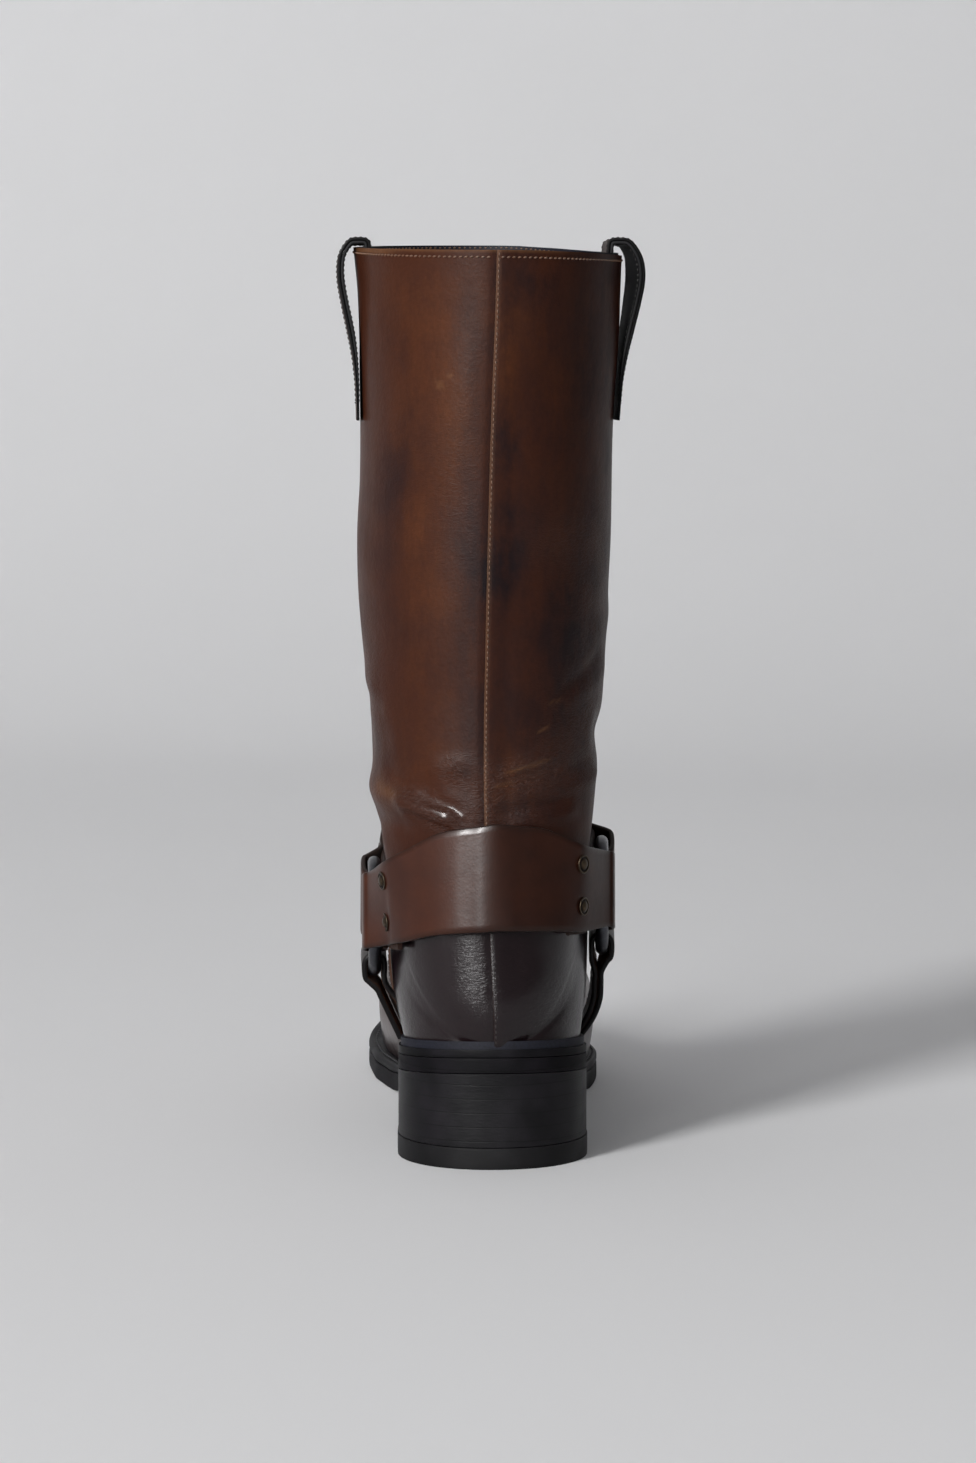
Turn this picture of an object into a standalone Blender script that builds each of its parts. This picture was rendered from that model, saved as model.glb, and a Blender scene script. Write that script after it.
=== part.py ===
"""Harness boot for the right foot, standing on its heel and forefoot.

Metres, +Z up, toe towards +Y, medial side at -X, lateral side at +X. The origin lies on the floor
under the centre of the heel. Along the foot the sizes are measured from the back of the heel and are
called "along"; world Y is along minus HEEL_CENTRE.
"""

import math

import bpy
import numpy as np
from mathutils import Vector
from mathutils.bvhtree import BVHTree

# Driving sizes of the sole
SOLE_LENGTH = 0.286
BALL_WIDTH = 0.093
HEEL_WIDTH = 0.0710
HEEL_CENTRE = 0.033
HEEL_LENGTH = 0.062
HEEL_ROUND = 0.035
TOE_ROUND = 0.062
HEEL_FULLNESS = 2.15
TOE_FULLNESS = 2.35
HEEL_HEIGHT = 0.0356
SEAT_DROP = 0.0070
TOE_SPRING = 0.0090
TOP_LIFT = 0.0078
OUTSOLE_THICKNESS = 0.0072
WELT_THICKNESS = 0.0036
WELT_WIDTH = 0.0060
INSOLE_THICKNESS = 0.0030

# Driving sizes of the upper
WALL = 0.0022
INSTEP_HEIGHT = 0.131
COLLAR_HEIGHT = 0.3395
SHAFT_DEPTH = 0.131
SHAFT_WIDTH = 0.1034
SEAM_LAP = 0.0009
SEAM_FADE = 0.010
VAMP_LAP = 0.0010

# Driving sizes of the harness
RING_DIAMETER = 0.0455
RING_WIRE = 0.0050
RING_ALONG = 0.062
RING_HEIGHT = {"medial": 0.0856, "lateral": 0.0931}
RING_STAND_OFF = {"medial": 0.0070, "lateral": 0.0080}
RING_TURN = {"medial": 0.0, "lateral": math.radians(4)}
STRAP_THICKNESS = 0.0019
STRAP_WIDTH = 0.0390
STRAP_END_WIDTH = 0.0288
STRAP_HEIGHT = 0.1076
STRAP_STAND_OFF = 0.0016
INSTEP_STRAP_WIDTH = 0.0360
ARCH_STRAP_WIDTH = 0.0200
ARCH_STRAP_THICKNESS = 0.0016
ARCH_STRAP_SPACING = 0.0024
RIVET_DIAMETER = 0.0070
RIVET_HEIGHT = 0.0012
RIVET_SPACING = 0.0158
HEEL_RIVET_RAISE = 0.0010

# Driving sizes of the pull loops
LOOP_WIDTH = 0.0270
LOOP_THICKNESS = 0.0026
LOOP_DROP = 0.0668
LOOP_INNER_DROP = 0.0420
LOOP_BOW = 0.0042
LOOP_ALONG = 0.0640

# Clearances between neighbouring pieces
GAP = 0.0003
SEAT_GAP = 0.0005
ARCH_END_GAP = 0.0012
INSOLE_GAP = 0.0017

# Mesh steps; the upper's rows are toe cap, vamp, quarters and shaft
OUTLINE_STEPS = 72
UPPER_STEPS = (8, 11, 9, 15)
UPPER_COLUMNS = 33
RING_STEPS = 32
WIRE_STEPS = 8
RIVET_STEPS = 16
JOIN_DISTANCE = 1e-7
LOOP_JOIN_DISTANCE = 2e-4
SHARP_ANGLE = math.radians(35)

# Sole outline, a row for each station from heel to toe. Columns: share of SOLE_LENGTH, then shares of
# BALL_WIDTH for the axis of the end caps, the medial side and the lateral side, both from that axis,
# and shares of WELT_WIDTH for the welt's showing width on the medial and the lateral side.
OUTLINE = (
    # along  axis    medial  lateral welt_medial welt_lateral
    (0.000, 0.000, 0.3817, 0.3817, 0.42, 0.42),
    (0.110, 0.000, 0.3817, 0.3817, 0.47, 0.47),
    (0.220, 0.000, 0.3640, 0.3790, 0.72, 0.72),
    (0.310, 0.000, 0.3330, 0.3780, 0.82, 0.80),
    (0.400, 0.000, 0.3130, 0.3930, 0.70, 0.62),
    (0.480, 0.000, 0.3200, 0.4330, 0.74, 0.52),
    (0.550,  0.002, 0.3580, 0.4800, 0.85, 0.50),
    (0.620,  0.002, 0.4090, 0.5270, 0.93, 0.50),
    (0.680, -0.001, 0.4430, 0.5510, 0.96, 0.52),
    (0.760, -0.011, 0.4500, 0.5380, 0.98, 0.64),
    (0.880, -0.026, 0.4200, 0.4820, 1.00, 0.90),
    (1.000, -0.036, 0.3850, 0.4250, 1.00, 1.00),
)

# Sole profile. Columns: share of SOLE_LENGTH, bottom height as a share of HEEL_HEIGHT behind the ball
# and of TOE_SPRING before it, and shares of OUTSOLE_THICKNESS and WELT_THICKNESS.
PROFILE = (
    # along  behind  before  outsole welt
    (0.000, 1.000, 0.00, 0.76, 0.81),
    (0.217, 0.803, 0.00, 0.76, 0.81),
    (0.300, 0.640, 0.00, 0.78, 0.82),
    (0.400, 0.360, 0.00, 0.82, 0.88),
    (0.500, 0.120, 0.00, 0.92, 0.95),
    (0.590, 0.000, 0.00, 1.00, 1.00),
    (0.760, 0.000, 0.00, 1.00, 1.00),
    (0.860, 0.000, 0.22, 1.00, 1.00),
    (0.940, 0.000, 0.60, 1.00, 1.00),
    (1.000, 0.000, 1.00, 1.00, 1.00),
)

# Foot sections, toe to heel. Each cuts the upper in a plane across the foot, from the feather line up
# to the ridge. Columns: where it meets the feather line and the ridge as shares of SOLE_LENGTH, ridge
# height as a share of INSTEP_HEIGHT above the floor, share of the section's length where it is widest,
# half-widths there as shares of BALL_WIDTH, ridge and seam side shift as shares of BALL_WIDTH, and the
# fullness of the upper corners.
FOOT_SECTIONS = (
    # feather ridge  height widest medial lateral ridge_x seam_x fullness
    (1.0000, 0.9790, 0.156, 0.46, 0.352, 0.388, -0.045, 0.0, 2.20),
    (0.9950, 0.9745, 0.236, 0.45, 0.353, 0.389, -0.045, 0.0, 2.20),
    (0.9800, 0.9610, 0.305, 0.43, 0.356, 0.392, -0.045, 0.0, 2.25),
    (0.9550, 0.9360, 0.360, 0.41, 0.363, 0.399, -0.046, 0.0, 2.30),
    (0.9180, 0.9010, 0.402, 0.39, 0.374, 0.414, -0.048, 0.0, 2.32),
    (0.8700, 0.8560, 0.429, 0.37, 0.386, 0.440, -0.052, 0.0, 2.30),
    (0.8140, 0.8040, 0.448, 0.35, 0.399, 0.474, -0.060, 0.0, 2.25),
    (0.7500, 0.7450, 0.474, 0.33, 0.410, 0.508, -0.068, 0.0, 2.15),
    (0.6850, 0.6850, 0.517, 0.31, 0.414, 0.532, -0.070, 0.0, 2.05),
    (0.6200, 0.6250, 0.594, 0.29, 0.402, 0.522, -0.064, 0.0, 2.00),
    (0.5530, 0.5660, 0.698, 0.28, 0.386, 0.486, -0.054, 0.0, 1.98),
    (0.4860, 0.5180, 0.808, 0.29, 0.378, 0.448, -0.042, 0.0, 1.98),
    (0.4200, 0.4820, 0.908, 0.31, 0.382, 0.426, -0.032, 0.0, 2.00),
    (0.3500, 0.4570, 1.000, 0.33, 0.390, 0.418, -0.026, 0.0, 2.05),
    (0.2800, 0.4430, 1.080, 0.36, 0.398, 0.416, -0.022, 0.0, 2.08),
    (0.2100, 0.4370, 1.155, 0.38, 0.400, 0.397, -0.020, 0.0, 2.10),
    (0.1470, 0.4345, 1.225, 0.40, 0.400, 0.388, -0.018, 0.0, 2.10),
    (0.0910, 0.4335, 1.290, 0.41, 0.400, 0.383, -0.016, 0.0, 2.10),
    (0.0455, 0.4335, 1.350, 0.42, 0.401, 0.380, -0.016, 0.0, 2.10),
    (0.0180, 0.4340, 1.405, 0.43, 0.405, 0.380, -0.016, -0.004, 2.10),
    (0.0000, 0.4345, 1.460, 0.44, 0.413, 0.384, -0.016, -0.009, 2.10),
)

# Shaft sections, heel to collar. Columns: height of the back line as a share of the way from the
# feather line to the collar, back line as a share of SHAFT_DEPTH, ridge height as a share of
# COLLAR_HEIGHT, ridge as a share of SHAFT_DEPTH, share where it is widest, half-widths as shares of
# SHAFT_WIDTH, ridge and seam side shift as shares of SHAFT_WIDTH, and the fullness.
SHAFT_SECTIONS = (
    # back  set    front  depth  widest medial lateral ridge_x seam_x fullness
    (0.045, 0.003, 0.587, 0.949, 0.45, 0.391, 0.360, -0.015, -0.012, 2.10),
    (0.099, 0.008, 0.616, 0.953, 0.45, 0.417, 0.380, -0.015, -0.019, 2.10),
    (0.160, 0.020, 0.648, 0.956, 0.46, 0.430, 0.394, -0.015, -0.025, 2.10),
    (0.221, 0.035, 0.680, 0.960, 0.46, 0.439, 0.406, -0.015, -0.033, 2.08),
    (0.281, 0.049, 0.713, 0.964, 0.47, 0.457, 0.421, -0.014, -0.042, 2.06),
    (0.342, 0.057, 0.745, 0.969, 0.47, 0.474, 0.435, -0.013, -0.044, 2.04),
    (0.410, 0.056, 0.780, 0.973, 0.48, 0.482, 0.445, -0.012, -0.043, 2.02),
    (0.491, 0.049, 0.818, 0.977, 0.48, 0.484, 0.451, -0.011, -0.039, 2.00),
    (0.585, 0.038, 0.862, 0.982, 0.49, 0.478, 0.456, -0.010, -0.034, 2.00),
    (0.693, 0.027, 0.909, 0.988, 0.49, 0.478, 0.466, -0.008, -0.027, 2.00),
    (0.808, 0.015, 0.950, 0.993, 0.50, 0.479, 0.479, -0.006, -0.018, 2.00),
    (0.909, 0.007, 0.985, 0.997, 0.50, 0.488, 0.486, -0.005, -0.007, 2.00),
    (1.000, 0.000, 1.015, 1.000, 0.50, 0.505, 0.496, -0.004, 0.000, 2.00),
)

SEAM_ROW = len(FOOT_SECTIONS) - 1
LAST_ROW = len(FOOT_SECTIONS) + len(SHAFT_SECTIONS) - 1
TOE_CAP_ROW = 4.0
VAMP_ROW = 13.2
VAMP_FADE_ROWS = 4.0
BACK_ROWS = 3.0
FEATHER_RISE = 0.008
WAIST_SHARE = 0.20
HEEL_EASE_ROWS = 1.8
HEEL_EASE_STEPS = np.linspace(-1.0, 1.0, 9)

# Heel strap, a row for each station from the ring round to the back. Columns: angle from straight back
# in degrees, share of the rise and of the widening from the ring to the back, and plies underneath.
HEEL_STRAP_ROWS = {
    "medial": ((57, 0.17, 0.06, 1.0), (46, 0.36, 0.30, 1.0), (34, 0.58, 0.58, 0.6), (20, 0.86, 0.88, 0.0),
               (0, 1.0, 1.0, 0.0)),
    "lateral": ((46, 0.25, 0.14, 1.0), (37, 0.44, 0.38, 1.0), (29, 0.62, 0.62, 0.6), (18, 0.86, 0.88, 0.0),
                (0, 1.0, 1.0, 0.0)),
}
HEEL_STRAP_RISE = math.radians(13)
HEEL_STRAP_LEAVES = 0.75
HEEL_RIVET_ANGLE = {"medial": 48.5, "lateral": 36}
HEEL_TAIL_ANGLE = {"medial": 40, "lateral": 28}

# Instep strap, a row for each station from the ring round to the front. Columns: angle from straight
# ahead in degrees in the strap's own plane, share of the widening, and plies underneath.
INSTEP_STRAP_ROWS = ((54, 0.20, 1.0), (46, 0.40, 1.0), (38, 0.60, 1.0), (28, 0.80, 0.3), (14, 0.95, 0.0),
                     (0, 1.0, 0.0))
INSTEP_STRAP_RISE = {"medial": math.radians(20), "lateral": math.radians(28)}
INSTEP_FRONT_RISE = math.radians(24)
INSTEP_RIVET_ANGLE = 47
INSTEP_TAIL_ANGLE = 39
STRAP_STEP = 5
SEAT_SPREAD = np.radians((-3.0, -1.5, 0.0, 1.5, 3.0))
SEAT_SHARES = np.linspace(-1.0, 1.0, 7)

# Arch straps between the welt and the ring. Columns: share of the way up, and how far the strap bows
# outward there on the medial and on the lateral side.
ARCH_STRAP_ROWS = ((0.0, 0.0, 0.0), (0.25, 0.0, 0.0030), (0.50, 0.0, 0.0036), (0.74, 0.0, 0.0018))
ARCH_STRAP_LEAN = {"medial": math.radians(8), "lateral": math.radians(11)}
ARCH_STRAP_COUNTS = (2, 2, 2, 2, 1, 1, 1, 1, 1, 1, 1, 1, 2, 2, 2, 2, 2)

# Fold of a strap round a ring's wire: angles in degrees where its outer ply comes off the wire, and
# steps after each station from the strap's tail through the fold to its outer ply
FOLD_LEAVES = (55, 28)
FOLD_COUNTS = (1, 2, 2, 2, 1, 1, 1, 1, 1, 1, 2, 1, 3)

# Pull loop outside the shaft. Columns: share of LOOP_DROP below the collar, share of LOOP_BOW.
LOOP_ROWS = ((0.045, 0.60), (0.11, 0.90), (0.20, 1.00), (0.325, 0.80), (0.466, 0.45), (0.607, 0.16),
             (0.76, 0.02), (1.00, 0.0))
LOOP_TURN = {"medial": 0.0, "lateral": math.radians(-7)}
LOOP_INNER_SHARES = (1.0, 0.5, 0.14, 0.04)
LOOP_COUNTS = (2, 3, 2, 2, 2, 2, 2)

# Rivet's outline from its flat back to its dome. Columns: share of the radius, share of RIVET_HEIGHT.
RIVET_PROFILE = ((1.00, 0.0), (1.00, 0.30), (0.86, 0.42), (0.62, 0.80), (0.34, 1.00))

SIDE_SIGN = {"medial": -1.0, "lateral": 1.0}


def clear_scene():
    """Remove every object, so that the scene holds the boot alone."""
    for item in list(bpy.data.objects):
        bpy.data.objects.remove(item, do_unlink=True)


def smooth(share):
    """Ease from 0 to 1 over the share, flat outside it."""
    held = np.clip(share, 0.0, 1.0)
    return held * held * (3.0 - 2.0 * held)


def slopes(xs, ys):
    """Slopes of a curve through the rows that never overshoots between them."""
    steps = np.diff(xs)
    rises = np.diff(ys) / steps
    result = np.zeros(len(xs))
    for i in range(1, len(xs) - 1):
        if rises[i - 1] * rises[i] > 0.0:
            before = 2.0 * steps[i] + steps[i - 1]
            after = steps[i] + 2.0 * steps[i - 1]
            result[i] = (before + after) / (before / rises[i - 1] + after / rises[i])
    result[0] = rises[0]
    result[-1] = rises[-1]
    return result


def read_table(xs, ys, at):
    """Read a table column at any place, on a smooth curve through its rows."""
    xs = np.asarray(xs, float)
    ys = np.asarray(ys, float)
    at = np.clip(np.asarray(at, float), xs[0], xs[-1])
    slope = slopes(xs, ys)
    left = np.clip(np.searchsorted(xs, at, side="right") - 1, 0, len(xs) - 2)
    step = xs[left + 1] - xs[left]
    t = (at - xs[left]) / step
    start = (1.0 + 2.0 * t) * (1.0 - t) ** 2 * ys[left] + t * (1.0 - t) ** 2 * step * slope[left]
    end = t * t * (3.0 - 2.0 * t) * ys[left + 1] + t * t * (t - 1.0) * step * slope[left + 1]
    return start + end


def column(table, index):
    """One column of a table."""
    return [row[index] for row in table]


def outline_value(index, along):
    """A column of the outline table at a place along the sole."""
    return read_table(column(OUTLINE, 0), column(OUTLINE, index), along / SOLE_LENGTH)


def cap(distance, length, power):
    """Share of the full width at a distance from a rounded end."""
    share = np.clip(distance / length, 0.0, 1.0)
    return (1.0 - (1.0 - share) ** power) ** (1.0 / power)


def end_caps(along, inset):
    """Share of the full width left by the round heel and the squarer toe, set in by the inset."""
    back = inset * np.asarray(outline_value(4, 0.0))
    front = SOLE_LENGTH - inset
    heel = cap(along - back, HEEL_ROUND, HEEL_FULLNESS)
    toe = cap(front - along, TOE_ROUND, TOE_FULLNESS)
    return heel * toe


def outline_side(side, along, inset=0.0):
    """Side edge of the sole at a place along it, moved in by the inset (1 is the full welt width)."""
    index = 2 if side == "medial" else 3
    axis = BALL_WIDTH * outline_value(1, along)
    width = width_share(index, along)
    width = width - inset * WELT_WIDTH * outline_value(index + 2, along)
    return axis + SIDE_SIGN[side] * width * end_caps(along, inset * WELT_WIDTH)


def width_share(index, along):
    """Half-width in metres before the end caps; the heel follows HEEL_WIDTH, the ball BALL_WIDTH."""
    share = outline_value(index, along)
    at_heel = 1.0 - smooth((along / SOLE_LENGTH - WAIST_SHARE) / WAIST_SHARE)
    base = BALL_WIDTH + (HEEL_WIDTH / (2.0 * OUTLINE[0][2]) - BALL_WIDTH) * at_heel
    return share * base


def profile_value(index, along):
    """A column of the profile table at a place along the sole."""
    return read_table(column(PROFILE, 0), column(PROFILE, index), along / SOLE_LENGTH)


def sole_bottom(along):
    """Height of the outsole's underside: heel seat, shank, flat ball and toe spring."""
    seat_share = 1.0 - SEAT_DROP / HEEL_HEIGHT
    behind = profile_value(1, along)
    seat_end = PROFILE[1][1]
    behind = np.where(behind > seat_end, 1.0 - (1.0 - behind) * (1.0 - seat_share) / (1.0 - seat_end),
                      behind * seat_share / seat_end)
    return HEEL_HEIGHT * behind + TOE_SPRING * profile_value(2, along)


def outsole_top(along):
    """Height of the outsole's upper face."""
    return sole_bottom(along) + OUTSOLE_THICKNESS * profile_value(3, along)


def welt_bottom(along):
    """Height of the welt's underside."""
    return outsole_top(along) + GAP


def welt_top(along):
    """Height of the welt's upper face."""
    return welt_bottom(along) + WELT_THICKNESS * profile_value(4, along)


def feather(along):
    """Height of the feather line, where the upper meets the welt."""
    return welt_top(along) + GAP


def world(side, along, height):
    """A point in the boot's frame."""
    return np.stack(np.broadcast_arrays(side, along - HEEL_CENTRE, height), axis=-1)


def end_spread(start, end, count):
    """Places from start to end, closer together near both ends."""
    angles = np.linspace(0.0, math.pi, count)
    return start + (end - start) * (1.0 - np.cos(angles)) / 2.0


def sole_loop(start, end, inset=0.0, count=OUTLINE_STEPS):
    """Closed loop of places round the sole's outline: lateral side forward, medial side back."""
    along = end_spread(start, end, count)
    lateral = outline_side("lateral", along, inset)
    medial = outline_side("medial", along, inset)
    forward = [(lateral[i], along[i]) for i in range(count)]
    back = [(medial[i], along[i]) for i in range(count - 1, -1, -1)]
    loop = []
    for point in forward + back:
        if not loop or math.dist(point, loop[-1]) > 1e-5:
            loop.append(point)
    if math.dist(loop[0], loop[-1]) < 1e-5:
        loop.pop()
    return loop


def enclosed_volume(points, faces):
    """Volume inside the faces, negative where they point inwards."""
    places = np.array(points)
    total = 0.0
    for face in faces:
        for i in range(1, len(face) - 1):
            total += float(np.dot(places[face[0]], np.cross(places[face[i]], places[face[i + 1]])))
    return total / 6.0


def mesh_object(name, points, faces, material):
    """Make one object from points and faces, joining points that coincide."""
    keys = {}
    kept = []
    index = []
    for point in points:
        key = tuple(int(round(value / JOIN_DISTANCE)) for value in point)
        if key not in keys:
            keys[key] = len(kept)
            kept.append(tuple(float(value) for value in point))
        index.append(keys[key])
    clean = []
    for face in faces:
        ring = []
        for corner in face:
            if index[corner] not in ring:
                ring.append(index[corner])
        if len(ring) > 2:
            clean.append(ring)
    if enclosed_volume(kept, clean) < 0.0:
        clean = [ring[::-1] for ring in clean]
    mesh = bpy.data.meshes.new(name)
    mesh.from_pydata(kept, [], clean)
    mesh.update()
    item = bpy.data.objects.new(name, mesh)
    bpy.context.scene.collection.objects.link(item)
    mesh.materials.append(material)
    mesh.shade_smooth()
    mesh.set_sharp_from_angle(angle=SHARP_ANGLE)
    return item


def add_material(name, colour, roughness, metallic):
    """A plain surface with the piece's colour, roughness and metallic value."""
    material = bpy.data.materials.new(name)
    material.use_nodes = True
    shader = material.node_tree.nodes["Principled BSDF"]
    shader.inputs["Base Color"].default_value = (*colour, 1.0)
    shader.inputs["Roughness"].default_value = roughness
    shader.inputs["Metallic"].default_value = metallic
    return material


def slab(name, loop, bottom, top, material):
    """A solid between two heights over a closed outline; the heights are functions of along."""
    count = len(loop)
    along = np.array([point[1] for point in loop])
    side = np.array([point[0] for point in loop])
    low = world(side, along, bottom(along))
    high = world(side, along, top(along))
    points = list(low) + list(high)
    faces = []
    for i in range(count):
        j = (i + 1) % count
        faces.append((i, j, count + j, count + i))
    faces += cover(loop, 0, True) + cover(loop, count, False)
    return mesh_object(name, points, faces, material)


def cover(loop, first, flip):
    """Faces across a closed outline, in strips between its lateral run and its medial run."""
    count = len(loop)
    right = left = min(range(count), key=lambda i: loop[i][1])
    covered = 1
    faces = []
    while covered < count:
        next_right = (right + 1) % count
        next_left = (left - 1) % count
        faces.append((first + right, first + next_right, first + next_left, first + left))
        covered += 2
        right = next_right
        left = next_left
    return [face[::-1] for face in faces] if flip else faces


def build_outsole(material):
    """The outsole, from heel seat to toe."""
    return slab("outsole", sole_loop(0.0, SOLE_LENGTH), sole_bottom, outsole_top, material)


def heel_loop(flare=0.0):
    """Outline of the heel: the back of the sole's outline, closed by the breast."""
    loop = sole_loop(0.0, SOLE_LENGTH, count=OUTLINE_STEPS * 2)
    lateral = [p for p in loop[:len(loop) // 2] if p[1] < HEEL_LENGTH]
    medial = [p for p in loop[len(loop) // 2:] if p[1] < HEEL_LENGTH]
    edge_lateral = (float(outline_side("lateral", HEEL_LENGTH)), HEEL_LENGTH)
    edge_medial = (float(outline_side("medial", HEEL_LENGTH)), HEEL_LENGTH)
    points = lateral + [edge_lateral, edge_medial] + medial
    scale = 1.0 + flare / (HEEL_WIDTH / 2.0)
    return [(p[0] * scale, HEEL_CENTRE + (p[1] - HEEL_CENTRE) * scale) for p in points]


def build_heel_block(material):
    """The stacked heel, between the top lift and the outsole."""
    return slab("heel_block", heel_loop(), lambda along: TOP_LIFT + GAP + 0.0 * along,
                lambda along: sole_bottom(along) - GAP, material)


def build_top_lift(material):
    """The flat layer that the heel stands on."""
    return slab("top_lift", heel_loop(GAP), lambda along: 0.0 * along, lambda along: TOP_LIFT + 0.0 * along,
                material)


def section_columns():
    """The section tables joined, toe to collar: back point, ridge point and shape columns."""
    tip = SOLE_LENGTH - WELT_WIDTH
    heel_back = WELT_WIDTH * OUTLINE[0][4]
    rows = []
    for row in FOOT_SECTIONS:
        along = heel_back + (tip - heel_back) * row[0]
        rows.append((along, float(feather(along)), SOLE_LENGTH * row[1], INSTEP_HEIGHT * row[2], row[3],
                     BALL_WIDTH * row[4], BALL_WIDTH * row[5], BALL_WIDTH * row[6], BALL_WIDTH * row[7],
                     row[8]))
    rows[0] = (tip, float(feather(tip)), tip, float(feather(tip)), *rows[0][4:])
    base = float(feather(heel_back))
    for row in SHAFT_SECTIONS:
        rows.append((SHAFT_DEPTH * row[1], base + (COLLAR_HEIGHT - base) * row[0], SHAFT_DEPTH * row[3],
                     COLLAR_HEIGHT * row[2], row[4], SHAFT_WIDTH * row[5], SHAFT_WIDTH * row[6],
                     SHAFT_WIDTH * row[7], SHAFT_WIDTH * row[8], row[9]))
    return np.array(rows)


COLUMNS = section_columns()
ROW_NUMBERS = np.arange(len(COLUMNS))


def section_value(index, row):
    """A column of the joined section table at any row place."""
    return read_table(ROW_NUMBERS, COLUMNS[:, index], row)


def upper_base(row, turn):
    """The upper's smooth outer form. Turn runs 0 to 1 from the lateral feather over the ridge.

    Where the foot's sections turn into the shaft's, round the heel, nearby sections are averaged, the
    more so the higher above the feather line.
    """
    row, turn = np.broadcast_arrays(np.asarray(row, float), np.asarray(turn, float))
    lift = smooth(8.0 * np.minimum(turn, 1.0 - turn))
    width = HEEL_EASE_ROWS * lift * (1.0 - smooth((np.abs(row - SEAM_ROW) - 1.0) / 2.5))
    weights = 1.0 + np.cos(math.pi * HEEL_EASE_STEPS * 0.999)
    total = 0.0
    for weight, step in zip(weights, HEEL_EASE_STEPS):
        total = total + weight * section_point(row + width * step, turn)
    return total / np.sum(weights)


def section_point(row, turn):
    """A point of the section at a row place."""
    row = np.clip(row, 0.0, LAST_ROW)
    foot_along = section_value(0, row)
    foot_height = np.where(row <= SEAM_ROW, feather(foot_along), section_value(1, row))
    ridge_along = section_value(2, row)
    ridge_height = section_value(3, row)
    widest = section_value(4, row)
    tip = SOLE_LENGTH - WELT_WIDTH
    toe = cap(tip - foot_along, TOE_ROUND, TOE_FULLNESS)
    axis = BALL_WIDTH * outline_value(1, foot_along)
    lateral = turn <= 0.5
    half = np.where(lateral, section_value(6, row), -section_value(5, row))
    half = axis + half * np.where(row <= SEAM_ROW, toe, 1.0)
    edge_lateral = outline_side("lateral", foot_along, 1.0)
    edge_medial = outline_side("medial", foot_along, 1.0)
    seam = section_value(8, row)
    edge = np.where(row < SEAM_ROW, np.where(lateral, edge_lateral, edge_medial), seam)
    near_back = smooth((row - (SEAM_ROW - BACK_ROWS)) / BACK_ROWS)
    edge = edge + np.where(row < SEAM_ROW, seam * near_back, 0.0)
    ridge = section_value(7, row) + 0.0 * turn
    ridge = np.where(row < SEAM_ROW, axis + (ridge - axis) * toe, ridge)
    share = np.where(lateral, turn, 1.0 - turn) * 4.0
    low = share <= 1.0
    psi = np.where(low, (1.0 - share) * math.pi / 2.0, 0.0)
    tau = np.where(low, 0.0, np.clip(share - 1.0, 0.0, 1.0) * math.pi / 2.0)
    spread = np.clip(1.0 - (edge - seam) / np.where(np.abs(half) < 1e-9, 1e-9, half - seam), 0.0, 1.0)
    low_side = edge + (half - edge) * np.cos(psi)
    low_reach = widest * (1.0 - ((1.0 - spread) * psi / (math.pi / 2.0) + spread * np.sin(psi)))
    full = section_value(9, row)
    high_side = ridge + (half - ridge) * np.cos(tau) ** (2.0 / full)
    high_reach = widest + (1.0 - widest) * np.sin(tau) ** (2.0 / full)
    side = np.where(low, low_side, high_side)
    reach = np.where(low, low_reach, high_reach)
    along = foot_along + (ridge_along - foot_along) * reach
    height = foot_height + (ridge_height - foot_height) * reach
    return world(side, along, height)


def upper_normal(row, turn):
    """Outward direction of the upper's smooth form."""
    step = 1e-3
    row = np.asarray(row, float)
    turn = np.asarray(turn, float)
    row, turn = np.broadcast_arrays(row, turn)
    along_row = upper_base(np.clip(row + step, 0, LAST_ROW), turn) - upper_base(
        np.clip(row - step, 0, LAST_ROW), turn)
    round_row = upper_base(row, np.clip(turn + step, 0, 1)) - upper_base(row, np.clip(turn - step, 0, 1))
    normal = np.cross(round_row, along_row)
    size = np.linalg.norm(normal, axis=-1, keepdims=True)
    normal = normal / np.maximum(size, 1e-15)
    point = upper_base(row, turn)
    lift = np.clip((point[..., 2] - feather(point[..., 1] + HEEL_CENTRE)) / FEATHER_RISE, 0.0, 1.0)
    flat = np.where((row < SEAM_ROW + 0.5), lift, 1.0)
    normal[..., 2] *= flat
    tip = row < 0.05
    normal[tip] = (0.0, 1.0, 0.0)
    normal /= np.maximum(np.linalg.norm(normal, axis=-1, keepdims=True), 1e-12)
    return normal


def seam_step(row, turn):
    """Height of the back seam's lap: the lateral panel lies over the medial one."""
    point = upper_base(row, turn)
    seam = upper_base(row, np.zeros_like(np.asarray(turn, float)) + 0.0)
    distance = np.linalg.norm(point - seam, axis=-1)
    lap = SEAM_LAP * (1.0 - smooth(distance / SEAM_FADE))
    return np.where((turn < 0.25) & (row >= SEAM_ROW - 1e-6), lap, 0.0)


def vamp_step(row, on_vamp):
    """Height of the vamp's lap over the quarters, fading towards the toe."""
    fade = 1.0 - smooth((VAMP_ROW - np.asarray(row, float)) / VAMP_FADE_ROWS)
    return np.where(on_vamp, VAMP_LAP * fade, 0.0)


def upper_rows(density=1):
    """Row places toe to collar, closer at the toe, with the vamp's edge and the heel's back on a row."""
    ends = (0.0, TOE_CAP_ROW, VAMP_ROW, SEAM_ROW, LAST_ROW)
    runs = [np.linspace(ends[i], ends[i + 1], UPPER_STEPS[i] * density + 1) for i in range(4)]
    rows = [(row, True) for row in np.concatenate([runs[0], runs[1][1:]])]
    rows += [(row, False) for row in np.concatenate([runs[2], runs[3][1:]])]
    return rows


def upper_turns(count):
    """Places round a section, lateral feather to medial feather."""
    return np.linspace(0.0, 1.0, count)


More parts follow.
